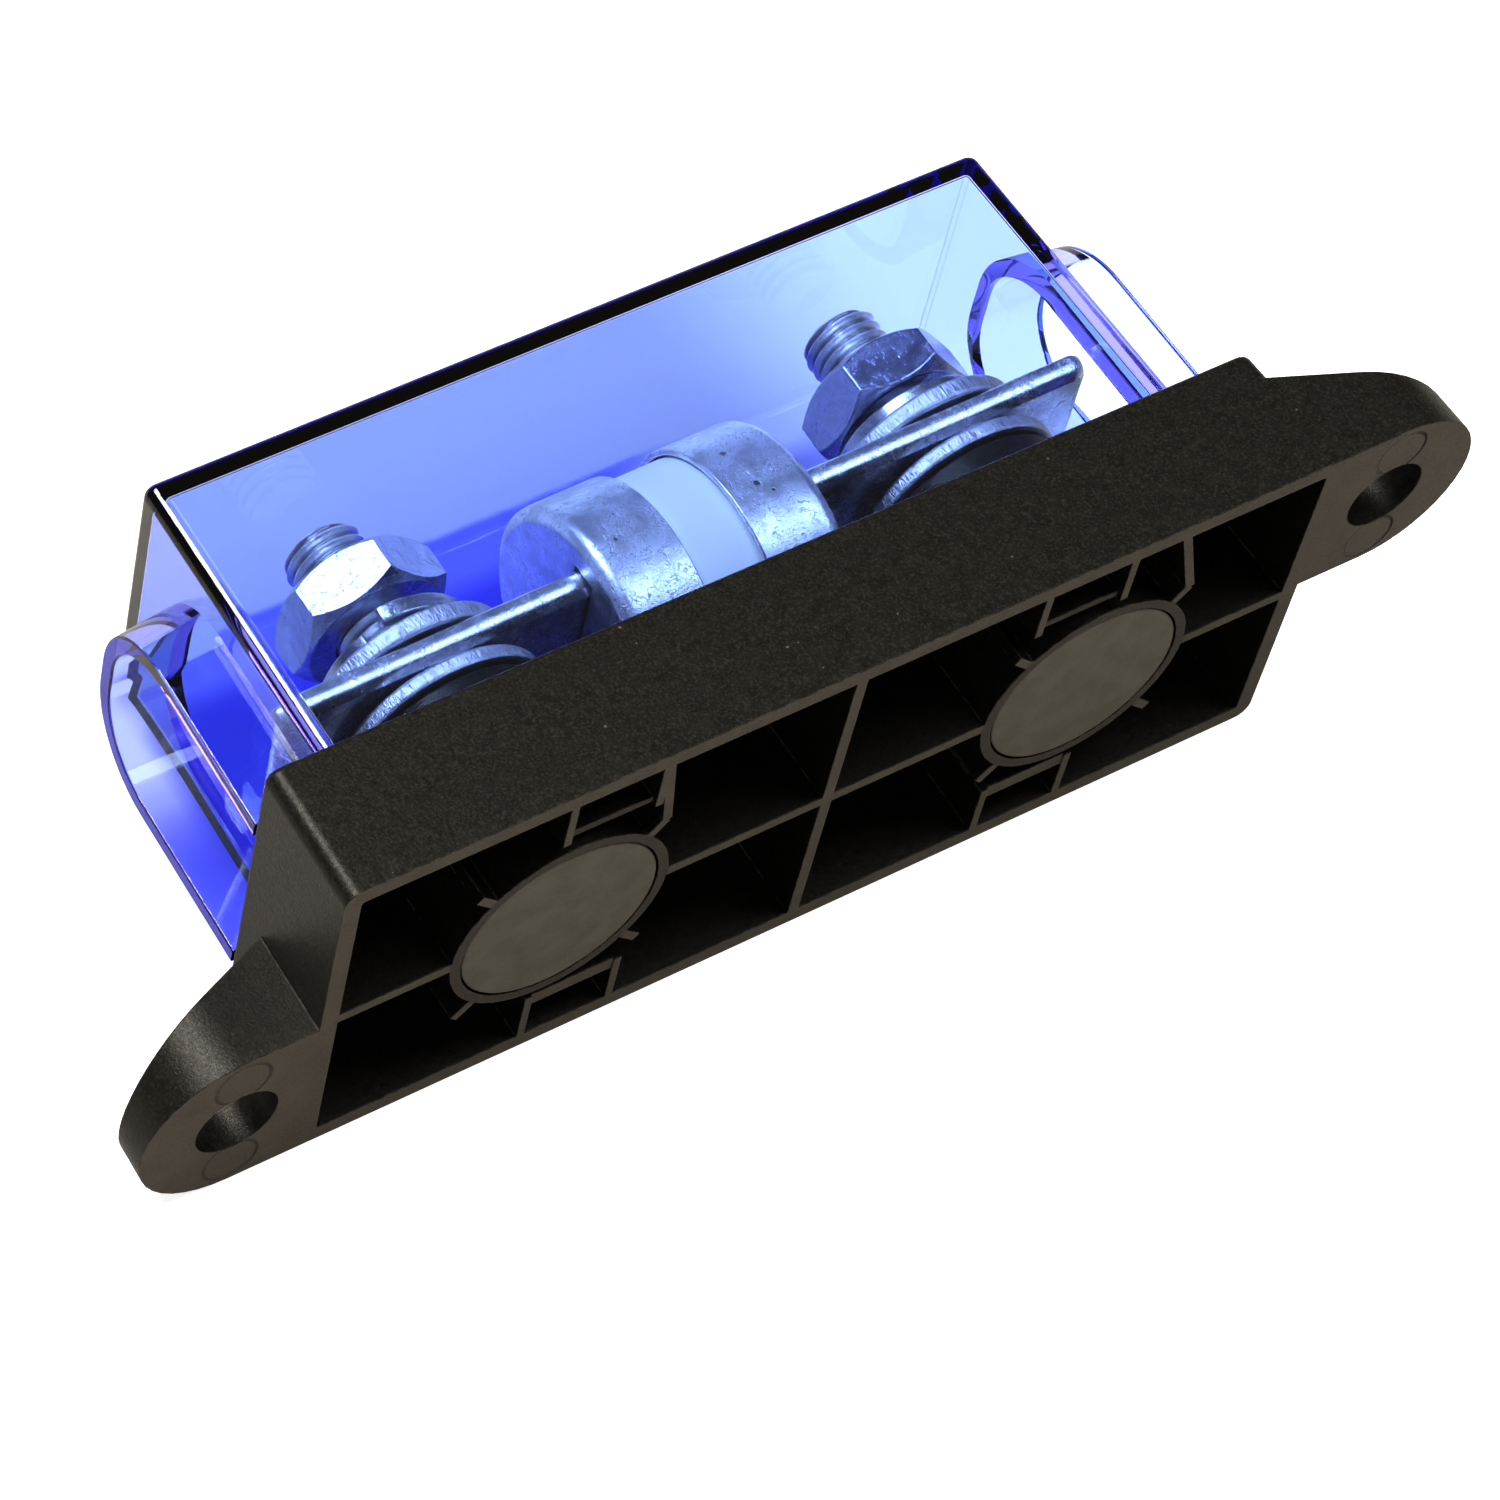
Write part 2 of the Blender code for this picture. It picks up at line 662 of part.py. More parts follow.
def make_terminal(side, finishes):
    is_left = side == "left"
    rise = LOCK_WASHER_RISE_LEFT if is_left else LOCK_WASHER_RISE_RIGHT
    split_at = LOCK_SPLIT_ANGLE_LEFT if is_left else LOCK_SPLIT_ANGLE_RIGHT
    turn = NUT_TURN_LEFT if is_left else NUT_TURN_RIGHT
    backed_off = NUT_BACKED_OFF_LEFT if is_left else 0.0
    contact = pedestal_height(side) + SEAT_GAP
    flat = blade_level(side) + BLADE_THICKNESS / 2 + SEAT_GAP + tilt_allowance(FLAT_WASHER_RADIUS)
    lock = flat + FLAT_WASHER_THICKNESS + SEAT_GAP
    nut = lock + LOCK_WASHER_SECTION + rise + SEAT_GAP + backed_off
    at = (terminal_x(side), 0, 0)
    bore = STUD_DIAMETER / 2 + STUD_HOLE_CLEARANCE

    shade_round(piece(f"boss_plug_{side}", plug, finishes["plug"], (SIDES[side] * BOSS_X, 0, 0)))

    shaft = piece(f"terminal_stud_{side}", stud, finishes["steel"], at)
    boolean(shaft, helper(f"stud_shank_{side}", stud_shank, at), "UNION")
    shade_round(shaft)

    shade_round(piece(
        f"contact_washer_{side}",
        washer(CONTACT_WASHER_RADIUS, bore, contact, CONTACT_WASHER_THICKNESS,
               CONTACT_WASHER_CROWN, CONTACT_WASHER_SLOPE),
        finishes["tin"], at))
    shade_round(piece(
        f"flat_washer_{side}", washer(FLAT_WASHER_RADIUS, bore, flat, FLAT_WASHER_THICKNESS),
        finishes["steel"], at))
    shade_round(piece(
        f"lock_washer_{side}",
        split_ring(LOCK_WASHER_RADIUS, bore, lock, LOCK_WASHER_SECTION, rise, split_at, LOCK_WASHER_SPLIT),
        finishes["steel"], at))

    block, envelope, hole = hex_nut(NUT_ACROSS_FLATS, nut, NUT_HEIGHT, bore, turn)
    made = piece(f"hex_nut_{side}", block, finishes["steel"], at)
    boolean(made, helper(f"nut_envelope_{side}", envelope, at), "INTERSECT")
    boolean(made, helper(f"nut_bore_{side}", hole, at), "DIFFERENCE")


# Fuse, made in its own frame: the axis of its body is X there


def seated(maker):
    """The same shape, carried from the fuse's frame to its place between the terminals."""
    def make(bm):
        maker(bm)
        place = Matrix.Translation((FUSE_SHIFT, 0, fuse_axis_height()))
        bmesh.ops.transform(bm, matrix=place @ Matrix.Rotation(-FUSE_TILT, 4, "Y"), verts=bm.verts)
    return make


def tube(bm):
    outer = CAP_RADIUS - CAP_WALL - SLIDE_GAP
    inner = outer - TUBE_WALL
    reach = FUSE_END - CAP_END_WALL - SEAT_GAP
    turned_along_x([(inner, -reach), (outer, -reach), (outer, reach), (inner, reach)])(bm)


def cap(side):
    """A cup with a rounded rim at its closed end, open towards the middle of the fuse."""
    def make(bm):
        mouth = TUBE_SHOWN / 2
        inner = CAP_RADIUS - CAP_WALL
        shoulder = CAP_RADIUS - CAP_END_ROUNDING
        corner = [(shoulder + CAP_END_ROUNDING * cos(turn), FUSE_END - CAP_END_ROUNDING * (1 - sin(turn)))
                  for turn in [pi / 2 * i / 4 for i in range(5)]]
        floor = FUSE_END - CAP_END_WALL
        outline = [(0.0, floor), (inner, floor), (inner, mouth), (CAP_RADIUS, mouth)] + corner
        outline.append((0.0, FUSE_END))
        turned_along_x([(radius, SIDES[side] * x) for radius, x in outline])(bm)
    return make


def blade(side):
    """A flat bar with round corners at its free end."""
    def make(bm):
        near = BLADE_INNER_END
        far = BLADE_REACH_LEFT if side == "left" else BLADE_REACH_RIGHT
        half = BLADE_WIDTH / 2
        radius = BLADE_CORNER_RADIUS
        outline = [(near, -half)]
        outline += arc((far - radius, radius - half), radius, -pi / 2, 0)
        outline += arc((far - radius, half - radius), radius, 0, pi / 2)
        outline += [(near, half)]
        low = BLADE_OFFSET - BLADE_THICKNESS / 2
        prism([(SIDES[side] * x, y) for x, y in outline], low, low + BLADE_THICKNESS)(bm)
    return make


def stud_slots(bm):
    """Upright slots about both studs, through the whole height of the blades."""
    outline = slot_outline(BLADE_HOLE_LENGTH, BLADE_HOLE_WIDTH)
    for side in SIDES:
        prism([(terminal_x(side) + x, y) for x, y in outline],
              blade_level(side) - BLADE_THICKNESS, blade_level(side) + BLADE_THICKNESS)(bm)


def cap_slots(bm):
    """The openings in the caps' end walls that the blades pass through."""
    half_width = BLADE_WIDTH / 2 + SLIDE_GAP
    half_height = BLADE_THICKNESS / 2 + SLIDE_GAP
    for side in SIDES.values():
        near, far = sorted((side * (FUSE_END - 2 * CAP_END_WALL), side * (FUSE_END + OVERSHOOT)))
        low, high = BLADE_OFFSET - half_height, BLADE_OFFSET + half_height
        box((near, -half_width, low), (far, half_width, high))(bm)


def link(bm):
    """The fusible strip, notched from both edges into a row of narrow necks."""
    reach = BLADE_INNER_END - SLIDE_GAP
    wide = LINK_WIDTH / 2
    notch = wide - LINK_NECK_WIDTH / 2
    edge = [(-reach, wide)]
    for k in (-1, 0, 1):
        edge += arc((k * LINK_NECK_PITCH, wide), notch, pi, 2 * pi, 8)
    edge.append((reach, wide))
    outline = edge + [(x, -y) for x, y in reversed(edge)]
    low = BLADE_OFFSET - LINK_THICKNESS / 2
    prism(outline, low, low + LINK_THICKNESS)(bm)


def make_fuse(finishes):
    shade_round(piece("fuse_tube", seated(tube), finishes["ceramic"]))
    slots = helper("cap_slots", seated(cap_slots))
    holes = helper("stud_slots", stud_slots)
    for side in SIDES:
        made = piece(f"fuse_cap_{side}", seated(cap(side)), finishes["tin"])
        boolean(made, slots, "DIFFERENCE")
        shade_round(made)
        made = piece(f"fuse_blade_{side}", seated(blade(side)), finishes["tin"])
        boolean(made, holes, "DIFFERENCE")
        bevel(made, BLADE_EDGE_ROUNDING)
        shade_round(made, radians(50))
    piece("fuse_link", seated(link), finishes["silver"])


# Cover


def cover_foot():
    return BASE_HEIGHT + SLIDE_GAP


def cover_half_width_at_foot():
    return COVER_TOP_WIDTH / 2 + COVER_DRAFT


def tongue_inner_y():
    """Tongues hang under the long walls, flush with the slots' outer sides."""
    return cover_half_width_at_foot() - TONGUE_THICKNESS - SLIDE_GAP


def cover_block():
    height = COVER_TOP_HEIGHT
    return drafted_block(
        COVER_TOP_LENGTH, COVER_TOP_WIDTH, height, COVER_DRAFT * height / (height - BASE_HEIGHT),
        COVER_CORNER_RADIUS, COVER_TOP_ROUNDING, cover_foot())


def cover_hollow():
    height = COVER_TOP_HEIGHT - COVER_WALL
    return drafted_block(
        COVER_TOP_LENGTH - 2 * COVER_WALL, COVER_TOP_WIDTH - 2 * COVER_WALL, height,
        COVER_DRAFT * height / (height - BASE_HEIGHT),
        COVER_CORNER_RADIUS - COVER_WALL / 2, COVER_TOP_ROUNDING / 2, cover_foot() - OVERSHOOT)


def hood_passage(bm, mouth_reach, wall, foot):
    """An arch from mouth to mouth, wider and taller at the end walls than at its mouths."""
    half_width = HOOD_HALF_WIDTH - wall
    crown = HOOD_CROWN_HEIGHT - wall
    mouth, root = [
        arch_outline(half_width + flare, crown + rise, HOOD_CORNER_RADIUS - wall, foot)
        for flare, rise in ((0.0, 0.0), (HOOD_FLARE, HOOD_RISE))]
    root_reach = COVER_TOP_LENGTH / 2 - COVER_WALL
    rings = [[(side * root_reach, y, z) for y, z in root] for side in (-1, 1)]
    ends = [[(side * mouth_reach(z), y, z) for y, z in mouth] for side in (-1, 1)]
    loft(bm, [ends[0], *rings, ends[1]])


def hood_block(bm):
    """Both hoods, with mouths that lean in towards the crown."""
    lean = (HOOD_REACH_FOOT - HOOD_REACH_CROWN) / (HOOD_CROWN_HEIGHT - cover_foot())
    hood_passage(bm, lambda z: HOOD_REACH_FOOT - lean * (z - cover_foot()), 0.0, cover_foot())


def hood_hollow(bm):
    hood_passage(bm, lambda z: HOOD_REACH_FOOT + OVERSHOOT, HOOD_WALL, cover_foot() - OVERSHOOT)


def tongue(side_x, side_y):
    """A snap tongue: a flat strip with a wedge-shaped barb on its inner face."""
    def make(bm):
        middle = side_x * POCKET_SPACING / 2
        inner = tongue_inner_y()
        outer = inner + TONGUE_THICKNESS
        low, top = TONGUE_TIP_HEIGHT, cover_foot() + COVER_WALL
        barb_top = low + TONGUE_BARB_LENGTH
        profile = [(outer, low), (outer, top), (inner, top), (inner, barb_top + TONGUE_BARB),
                   (inner - TONGUE_BARB, barb_top), (inner, low)]
        prism_along_x([(side_y * y, z) for y, z in profile],
                      middle - TONGUE_WIDTH / 2, middle + TONGUE_WIDTH / 2)(bm)
    return make


def make_cover(finish):
    cover = piece("cover", cover_block(), finish)
    boolean(cover, helper("hood_block", hood_block), "UNION")
    boolean(cover, helper("cover_hollow", cover_hollow()), "DIFFERENCE")
    boolean(cover, helper("hood_hollow", hood_hollow), "DIFFERENCE")
    for name_x, side_x in SIDES.items():
        for name_y, side_y in {"front": -1, "back": 1}.items():
            boolean(cover, helper(f"tongue_{name_x}_{name_y}", tongue(side_x, side_y)), "UNION")
    return cover


def main():
    clear_scene()
    finishes = {
        "plug": material("plug_plastic", (0.075, 0.068, 0.06), 0.62),
        "steel": material("stainless_steel", (0.62, 0.62, 0.66), 0.28, 1.0),
        "tin": material("tin_plate", (0.72, 0.73, 0.78), 0.34, 1.0),
        "silver": material("silver", (0.86, 0.86, 0.84), 0.3, 1.0),
        "ceramic": material("white_tube", (0.86, 0.88, 0.9), 0.5),
    }
    make_base(material("base_plastic", (0.034, 0.032, 0.03), 0.6))
    for side in SIDES:
        make_terminal(side, finishes)
    make_fuse(finishes)
    make_cover(material("cover_plastic", (0.12, 0.2, 0.95), 0.12, alpha=0.45))


main()
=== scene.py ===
"""Looks of a class T fuse block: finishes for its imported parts, threaded studs, a stage and a camera.

The file is laid out as a Blender add-on and run as a script. Lengths are in metres, in the frame of the
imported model: X along the block, -Y to the long wall that the camera sees, +Z up from the underside.
"""

from math import asin, cos, pi, radians, sin

import bmesh
import bpy
from bpy.props import FloatProperty, FloatVectorProperty, PointerProperty
from mathutils import Matrix, Vector


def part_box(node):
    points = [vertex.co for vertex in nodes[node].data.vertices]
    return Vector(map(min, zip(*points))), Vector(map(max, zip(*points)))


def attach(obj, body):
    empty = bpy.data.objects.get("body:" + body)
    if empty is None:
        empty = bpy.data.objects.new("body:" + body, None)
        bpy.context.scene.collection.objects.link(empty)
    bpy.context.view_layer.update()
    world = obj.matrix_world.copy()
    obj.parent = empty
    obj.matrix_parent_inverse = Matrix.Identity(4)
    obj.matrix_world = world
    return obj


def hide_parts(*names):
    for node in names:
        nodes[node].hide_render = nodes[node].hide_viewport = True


bl_info = {
    "name": "Fuse Block Looks",
    "version": (1, 0, 0),
    "blender": (4, 5, 0),
    "location": "3D View > Sidebar > Fuse Block",
    "description": "Finishes, threaded studs and a stage for a class T fuse block",
    "category": "Object",
}

MM = 0.001
WELD = 0.002 * MM
WHITE = (1.0, 1.0, 1.0)

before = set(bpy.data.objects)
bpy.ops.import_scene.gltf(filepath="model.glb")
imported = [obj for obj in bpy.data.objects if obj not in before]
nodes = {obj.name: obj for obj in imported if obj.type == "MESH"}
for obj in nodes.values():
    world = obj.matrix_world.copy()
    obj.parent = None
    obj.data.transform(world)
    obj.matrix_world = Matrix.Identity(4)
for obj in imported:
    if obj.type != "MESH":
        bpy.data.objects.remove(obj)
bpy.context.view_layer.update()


# Values for shader maths


class Value:
    """A shader socket that takes part in Python arithmetic: each expression adds its Math nodes."""

    def __init__(self, finish, socket):
        self.finish = finish
        self.socket = socket

    def maths(self, operation, *terms):
        return self.finish.node("ShaderNodeMath", {"operation": operation}, dict(enumerate(terms)))

    def __add__(self, other):
        return self.maths("ADD", self, other)

    def __radd__(self, other):
        return self.maths("ADD", other, self)

    def __sub__(self, other):
        return self.maths("SUBTRACT", self, other)

    def __rsub__(self, other):
        return self.maths("SUBTRACT", other, self)

    def __mul__(self, other):
        return self.maths("MULTIPLY", self, other)

    def __truediv__(self, other):
        return self.maths("DIVIDE", self, other)

    def __pow__(self, other):
        return self.maths("POWER", self, other)

    def __abs__(self):
        return self.maths("ABSOLUTE", self)

    def fraction(self):
        return self.maths("FRACT", self)

    def at_least(self, other):
        return self.maths("MAXIMUM", self, other)

    def turn(self, across):
        """The angle of a point round the origin, where this value is its rise."""
        return self.maths("ARCTAN2", self, across)

    def diagonal(self, across):
        """The distance of a point from the origin, where this value is its rise."""
        return (across * across + self * self) ** 0.5


class Finish:
    """A node tree under construction, for a material or for the world."""

    def __init__(self, tree):
        self.tree = tree
        self.tree.nodes.clear()

    def node(self, kind, settings=None, inputs=None, output=0):
        """Adds a node, applies its settings, then fills its sockets with values or links."""
        made = self.tree.nodes.new(kind)
        for name, setting in (settings or {}).items():
            setattr(made, name, setting)
        for key, given in (inputs or {}).items():
            socket = made.inputs[key]
            if isinstance(given, Value):
                self.tree.links.new(given.socket, socket)
            else:
                socket.default_value = given
        return None if output is None else Value(self, made.outputs[output])

    def place(self):
        """The point being shaded, in the frame."""
        return self.node("ShaderNodeTexCoord", output="Object")

    def facing(self):
        """The surface's own normal, in the frame."""
        return self.node("ShaderNodeNewGeometry", output="True Normal")

    def rounded(self, radius, samples):
        """The normal, bent round the edges."""
        return self.node("ShaderNodeBevel", {"samples": samples}, {"Radius": radius})

    def ray(self, kind):
        """1 for one kind of ray, 0 for the others."""
        return self.node("ShaderNodeLightPath", output=kind)

    def axes(self, vector):
        """The three components of a vector."""
        made = self.node("ShaderNodeSeparateXYZ", inputs={0: vector})
        outputs = made.socket.node.outputs
        return [Value(self, outputs[name]) for name in ("X", "Y", "Z")]

    def vector(self, x, y, z):
        return self.node("ShaderNodeCombineXYZ", inputs={0: x, 1: y, 2: z})

    def stretch(self, vector, scale):
        return self.node("ShaderNodeVectorMath", {"operation": "MULTIPLY"}, {0: vector, 1: scale})

    def compare(self, operation, first, second):
        """One number from two vectors, such as their distance."""
        return self.node(
            "ShaderNodeVectorMath", {"operation": operation}, {0: first, 1: second}, output="Value")

    def noise(self, vector, size, detail=3.0, roughness=0.55, distortion=0.0):
        """Noise from 0 to 1 whose grains are about this size across."""
        return self.node("ShaderNodeTexNoise", inputs={
            "Vector": vector, "Scale": 1 / size, "Detail": detail, "Roughness": roughness,
            "Distortion": distortion})

    def step(self, value, low, high):
        """A smooth step from 0 at low to 1 at high."""
        return self.node(
            "ShaderNodeMapRange", {"interpolation_type": "SMOOTHSTEP"},
            {"Value": value, "From Min": low, "From Max": high, "To Min": 0.0, "To Max": 1.0})

    def blend(self, share, first, second):
        """A colour mixed from first to second by a share."""
        return self.node(
            "ShaderNodeMix", {"data_type": "RGBA"}, {"Factor": share, "A": rgba(first), "B": rgba(second)},
            output="Result")

    def bump(self, height, distance, strength=1.0, normal=None):
        inputs = {"Height": height, "Distance": distance, "Strength": strength}
        if normal:
            inputs["Normal"] = normal
        return self.node("ShaderNodeBump", inputs=inputs)

    def principled(self, **sockets):
        """A Principled shader, its sockets named in lower case with underscores."""
        inputs = {}
        for key, given in sockets.items():
            name = key.replace("_", " ").title().replace("Ior", "IOR")
            inputs[name] = rgba(given) if key.endswith(("color", "tint")) else given
        return self.node("ShaderNodeBsdfPrincipled", inputs=inputs)

    def shader(self, kind, colour=WHITE, **inputs):
        """A plain shader of one colour."""
        return self.node(kind, inputs={"Color": rgba(colour), **inputs})

    def mix(self, share, first, second):
        """A shader mixed from first to second by a share."""
        return self.node("ShaderNodeMixShader", inputs={0: share, 1: first, 2: second})

    def glowing(self, shader, colour, strength):
        """A shader with an even glow added."""
        glow = self.shader("ShaderNodeEmission", colour, Strength=strength)
        return self.node("ShaderNodeAddShader", inputs={0: shader, 1: glow})

    def surface(self, shader, volume=None):
        inputs = {"Surface": shader}
        if volume:
            inputs["Volume"] = volume
        self.node("ShaderNodeOutputMaterial", inputs=inputs, output=None)


def rgba(colour):
    """Colours go to their sockets with an alpha, links go as they are."""
    return colour if isinstance(colour, Value) else (*tuple(colour)[:3], 1.0)


def srgb(*levels):
    """A linear colour from the 0 to 255 values that a picture shows."""
    shares = [level / 255 for level in levels]
    return tuple(((share + 0.055) / 1.055) ** 2.4 if share > 0.04045 else share / 12.92 for share in shares)


def scaled(colour, factor):
    return tuple(c * factor for c in tuple(colour)[:3])


def new_material(name):
    made = bpy.data.materials.new(name)
    made.use_nodes = True
    return made, Finish(made.node_tree)


# Materials


def moulded_plastic(looks):
    """Dark fine-grained plastic, with a paler, warmer grey on its underside."""
    material, f = new_material("base_plastic")
    dark, pale = looks.base_colour, looks.underside_colour
    place = f.place()
    x, y, z = f.axes(place)
    upwards = f.axes(f.facing())[2]
    mottle = f.noise(place, 1.8 * MM, detail=4.0, roughness=0.62)
    grain = f.noise(place, 0.38 * MM, detail=2.0, roughness=0.7)
    dust = f.noise(place, 0.9 * MM, detail=1.0, roughness=0.5)
    blotches = f.noise(place, 5 * MM, detail=5.0, roughness=0.6)

    wall = f.blend(f.step(mottle, 0.35, 0.66), scaled(dark, 0.72), scaled(dark, 1.25))
    wall = f.blend(f.step(grain, 0.5, 0.7) * 0.55, wall, scaled(dark, 3.2))
    wall = f.blend(f.step(dust, 0.79, 0.83) * 0.6, wall, scaled(pale, 2.2))
    # Painted shade: the plastic inside the tray, below its top, is darkened in place of the shade in its
    # cells.
    inside = f.step(abs(x), *looks.inside_x) * f.step(abs(y), *looks.inside_y)
    inside = inside * f.step(z, looks.base_height, looks.base_height - 1 * MM)
    wall = f.blend(inside * 0.75, wall, scaled(dark, 0.15))

    # The faces at the underside get a paler, warmer grey that varies in blotches.
    underside = f.step(upwards, -0.9, -0.97) * f.step(z, 1.2 * MM, 0.3 * MM)
    lighter = f.blend(f.step(blotches, 0.25, 0.75), scaled(pale, 0.86), scaled(pale, 1.12))
    colour = f.blend(underside, wall, lighter)
    marks, shades = ejector_marks(f, x, y, looks)
    # Painted shadow: the dark side of each ejector mark is darkened on the underside.
    colour = f.blend(shades * underside, colour, scaled(dark, 0.5))
    for side in (1, -1):
        boss = f.step(y.diagonal(x - side * looks.boss_x), *looks.boss_edge)
        colour = f.blend(boss * underside * 0.75, colour, scaled(pale, 0.4))

    rounded = f.rounded(looks.edge_radius, samples=6)
    bend = f.compare("DOT_PRODUCT", rounded, f.facing())
    # Paler edges: partly wear, partly a painted highlight along the rounded edges.
    worn_and_highlit = f.step(bend, 0.985, 0.9) * f.step(mottle, 0.42, 0.6)
    colour = f.blend(worn_and_highlit * 0.6, colour, scaled(pale, 1.6))
    normal = f.bump(grain, 0.06 * MM, 0.8, rounded)
    normal = f.bump(mottle, 0.1 * MM, 0.4, normal)
    normal = f.bump(marks * underside - gate_mark(f, x, y, z, looks) * 0.5, 0.32 * MM, 1.0, normal)
    roughness = 0.39 + (grain - 0.5) * 0.5 + underside * 0.18
    f.surface(f.principled(
        base_color=colour, roughness=roughness, normal=normal, specular_ior_level=0.16,
        specular_tint=looks.sheen_colour))
    return material


def gate_mark(f, x, y, z, looks):
    """The round scar on the front wall where the plastic came in."""
    away = (z - looks.gate_z).diagonal(x - looks.gate_x)
    ring = f.step(abs(away - looks.gate_radius), 0.22 * MM, 0.05 * MM)
    return ring * f.step(y, -24.9 * MM, -25.2 * MM)


def ejector_marks(f, x, y, looks):
    """Shallow discs left by ejector pins, two beside each ear's hole: their depth and a painted shadow beside
    each.
    """
    radius = looks.ejector_radius
    marks, shades = 0.0, 0.0
    for side, darkness in ((1, 0.95), (-1, 0.4)):
        for offset in (looks.ejector_offset, -looks.ejector_offset):
            across = x - side * looks.ear_hole_x
            away = (y - (offset - side * looks.ear_hole_y)).diagonal(across)
            ring = f.step(abs(away - radius), 0.3 * MM, 0.08 * MM)
            marks = marks - f.step(away, radius + 0.15 * MM, radius - 0.15 * MM)
            marks = marks - ring * 0.6
            # Painted shadow: a dark crescent on one side of each ring.
            shades = ring * f.step(across, 0.5 * MM, 2.5 * MM) * darkness + shades
    return marks, shades


def plug_plastic(looks):
    """The plugs' plastic, smoother than the base's."""
    material, f = new_material("plug_plastic")
    tone = looks.plug_colour
    place = f.place()
    mottle = f.noise(place, 3.5 * MM, detail=4.0, roughness=0.6)
    grain = f.noise(place, 0.3 * MM, detail=2.0, roughness=0.6)
    colour = f.blend(f.step(mottle, 0.3, 0.7), scaled(tone, 0.84), scaled(tone, 1.16))
    normal = f.bump(grain, 0.03 * MM, 0.5)
    normal = f.bump(mottle, 0.1 * MM, 0.4, normal)
    f.surface(f.principled(
        base_color=colour, roughness=0.5 + (grain - 0.5) * 0.3, normal=normal, specular_ior_level=0.3,
        specular_tint=looks.sheen_colour))
    return material


def bright_steel(name, tone, dullness, thread=None):
    """Bright plated steel with small dents and specks, and with painted shade in the grooves of a thread."""
    material, f = new_material(name)
    place = f.place()
    cloud = f.noise(place, 3 * MM, detail=4.0, roughness=0.6)
    specks = f.noise(place, 0.35 * MM, detail=3.0, roughness=0.65)
    colour = f.blend(f.step(cloud, 0.35, 0.7), scaled(tone, 0.8), tone)
    colour = f.blend(f.step(specks, 0.6, 0.68) * 0.6, colour, scaled(tone, 0.3))
    if thread:
        centre_x, pitch = thread
        x, y, z = f.axes(place)
        phase = (z / pitch - y.turn(x - centre_x) / (2 * pi)).fraction()
        # Painted shade: the thread's grooves are darkened.
        groove_shade = f.step(abs(phase - 0.5), 0.2, 0.4)
        colour = f.blend(groove_shade * 0.8, colour, scaled(tone, 0.2))
    roughness = dullness + cloud * 0.14 + f.step(specks, 0.6, 0.75) * 0.2
    pitted = specks * (0.25 + f.step(cloud, 0.46, 0.56))
    normal = f.bump(pitted, 0.05 * MM, 1.0, f.rounded(0.2 * MM, samples=4))
    f.surface(f.principled(base_color=colour, metallic=1.0, roughness=roughness, normal=normal))
    return material


def washer_steel(looks, name, centre_x):
    """Stamped washer: smooth faces and a torn, upright-streaked edge."""
    material, f = new_material(name)
    tone = looks.steel_colour
    place = f.place()
    x, y, z = f.axes(place)
    edge = f.step(abs(f.axes(f.facing())[2]), 0.75, 0.35)
    along = y.turn(x - centre_x) * looks.washer_radius
    streaks = f.noise(f.vector(along, z * 0.3, 0.0), 0.6 * MM, detail=3.0, roughness=0.75)
    cloud = f.noise(place, 2.2 * MM, detail=4.0, roughness=0.6)
    colour = f.blend(f.step(cloud, 0.3, 0.7), scaled(tone, 0.72), tone)
    colour = f.blend(f.step(streaks, 0.52, 0.66) * edge * 0.7, colour, scaled(tone, 0.3))
    normal = f.bump(streaks * edge, 0.3 * MM)
    roughness = 0.26 + edge * 0.12 + cloud * 0.1
    f.surface(f.principled(base_color=colour, metallic=1.0, roughness=roughness, normal=normal))
    return material


# Deep pits in the caps: the middle of each, and its radius
CAP_PITS = (
    ((6.99 * MM, -15.06 * MM, 37.93 * MM), 0.55 * MM),
    ((7.61 * MM, -16.36 * MM, 31.97 * MM), 0.6 * MM),
    ((8.9 * MM, -16.3 * MM, 30.4 * MM), 0.3 * MM),
    ((-11.3 * MM, -16.3 * MM, 32.4 * MM), 0.35 * MM),
)


def tin_plate(looks, name, dullness, relief, pits=()):
    """Tin plate with stains, crazing and a few deeper pits."""
    material, f = new_material(name)
    tone = looks.tin_colour
    place = f.place()
    cloud = f.noise(place, 4 * MM, detail=5.0, roughness=0.65)
    stains = f.noise(place, 1.1 * MM, detail=6.0, roughness=0.8, distortion=0.8)
    fine = f.noise(place, 0.28 * MM, detail=3.0, roughness=0.6)
    veins = f.noise(place, 1.4 * MM, detail=4.0, roughness=0.6, distortion=0.8)
    crazing = f.step(abs(veins - 0.5), 0.03, 0.008) * f.step(cloud, 0.45, 0.58)
    colour = f.blend(f.step(cloud, 0.38, 0.62), scaled(tone, 0.66), tone)
    dark = f.step(stains, 0.55, 0.66)
    colour = f.blend(dark * 0.7, colour, scaled(tone, 0.35))
    colour = f.blend(crazing * 0.75, colour, scaled(tone, 0.3))
    height = fine + stains * 0.5 - crazing * 0.5
    for middle, radius in pits:
        pit = f.step(f.compare("DISTANCE", place, middle), radius, radius * 0.4)
        colour = f.blend(pit * 0.85, colour, looks.pit_colour)
        height = height - pit
    normal = f.bump(height, relief)
    roughness = dullness + cloud * 0.12 + dark * 0.1
    f.surface(f.principled(base_color=colour, metallic=1.0, roughness=roughness, normal=normal))
    return material


def white_tube(looks):
    """The fuse's tube, with fibres round it."""
    material, f = new_material("white_tube")
    place = f.place()
    fibre = f.noise(f.stretch(place, (1.0, 0.2, 0.2)), 0.5 * MM, detail=3.0, roughness=0.6)
    cloud = f.noise(place, 5 * MM, detail=3.0, roughness=0.5)
    colour = f.blend(cloud, scaled(looks.tube_colour, 0.9), looks.tube_colour)
    normal = f.bump(fibre, 0.02 * MM, 0.5)
    f.surface(f.principled(base_color=colour, roughness=0.42 + fibre * 0.1, normal=normal))
    return material


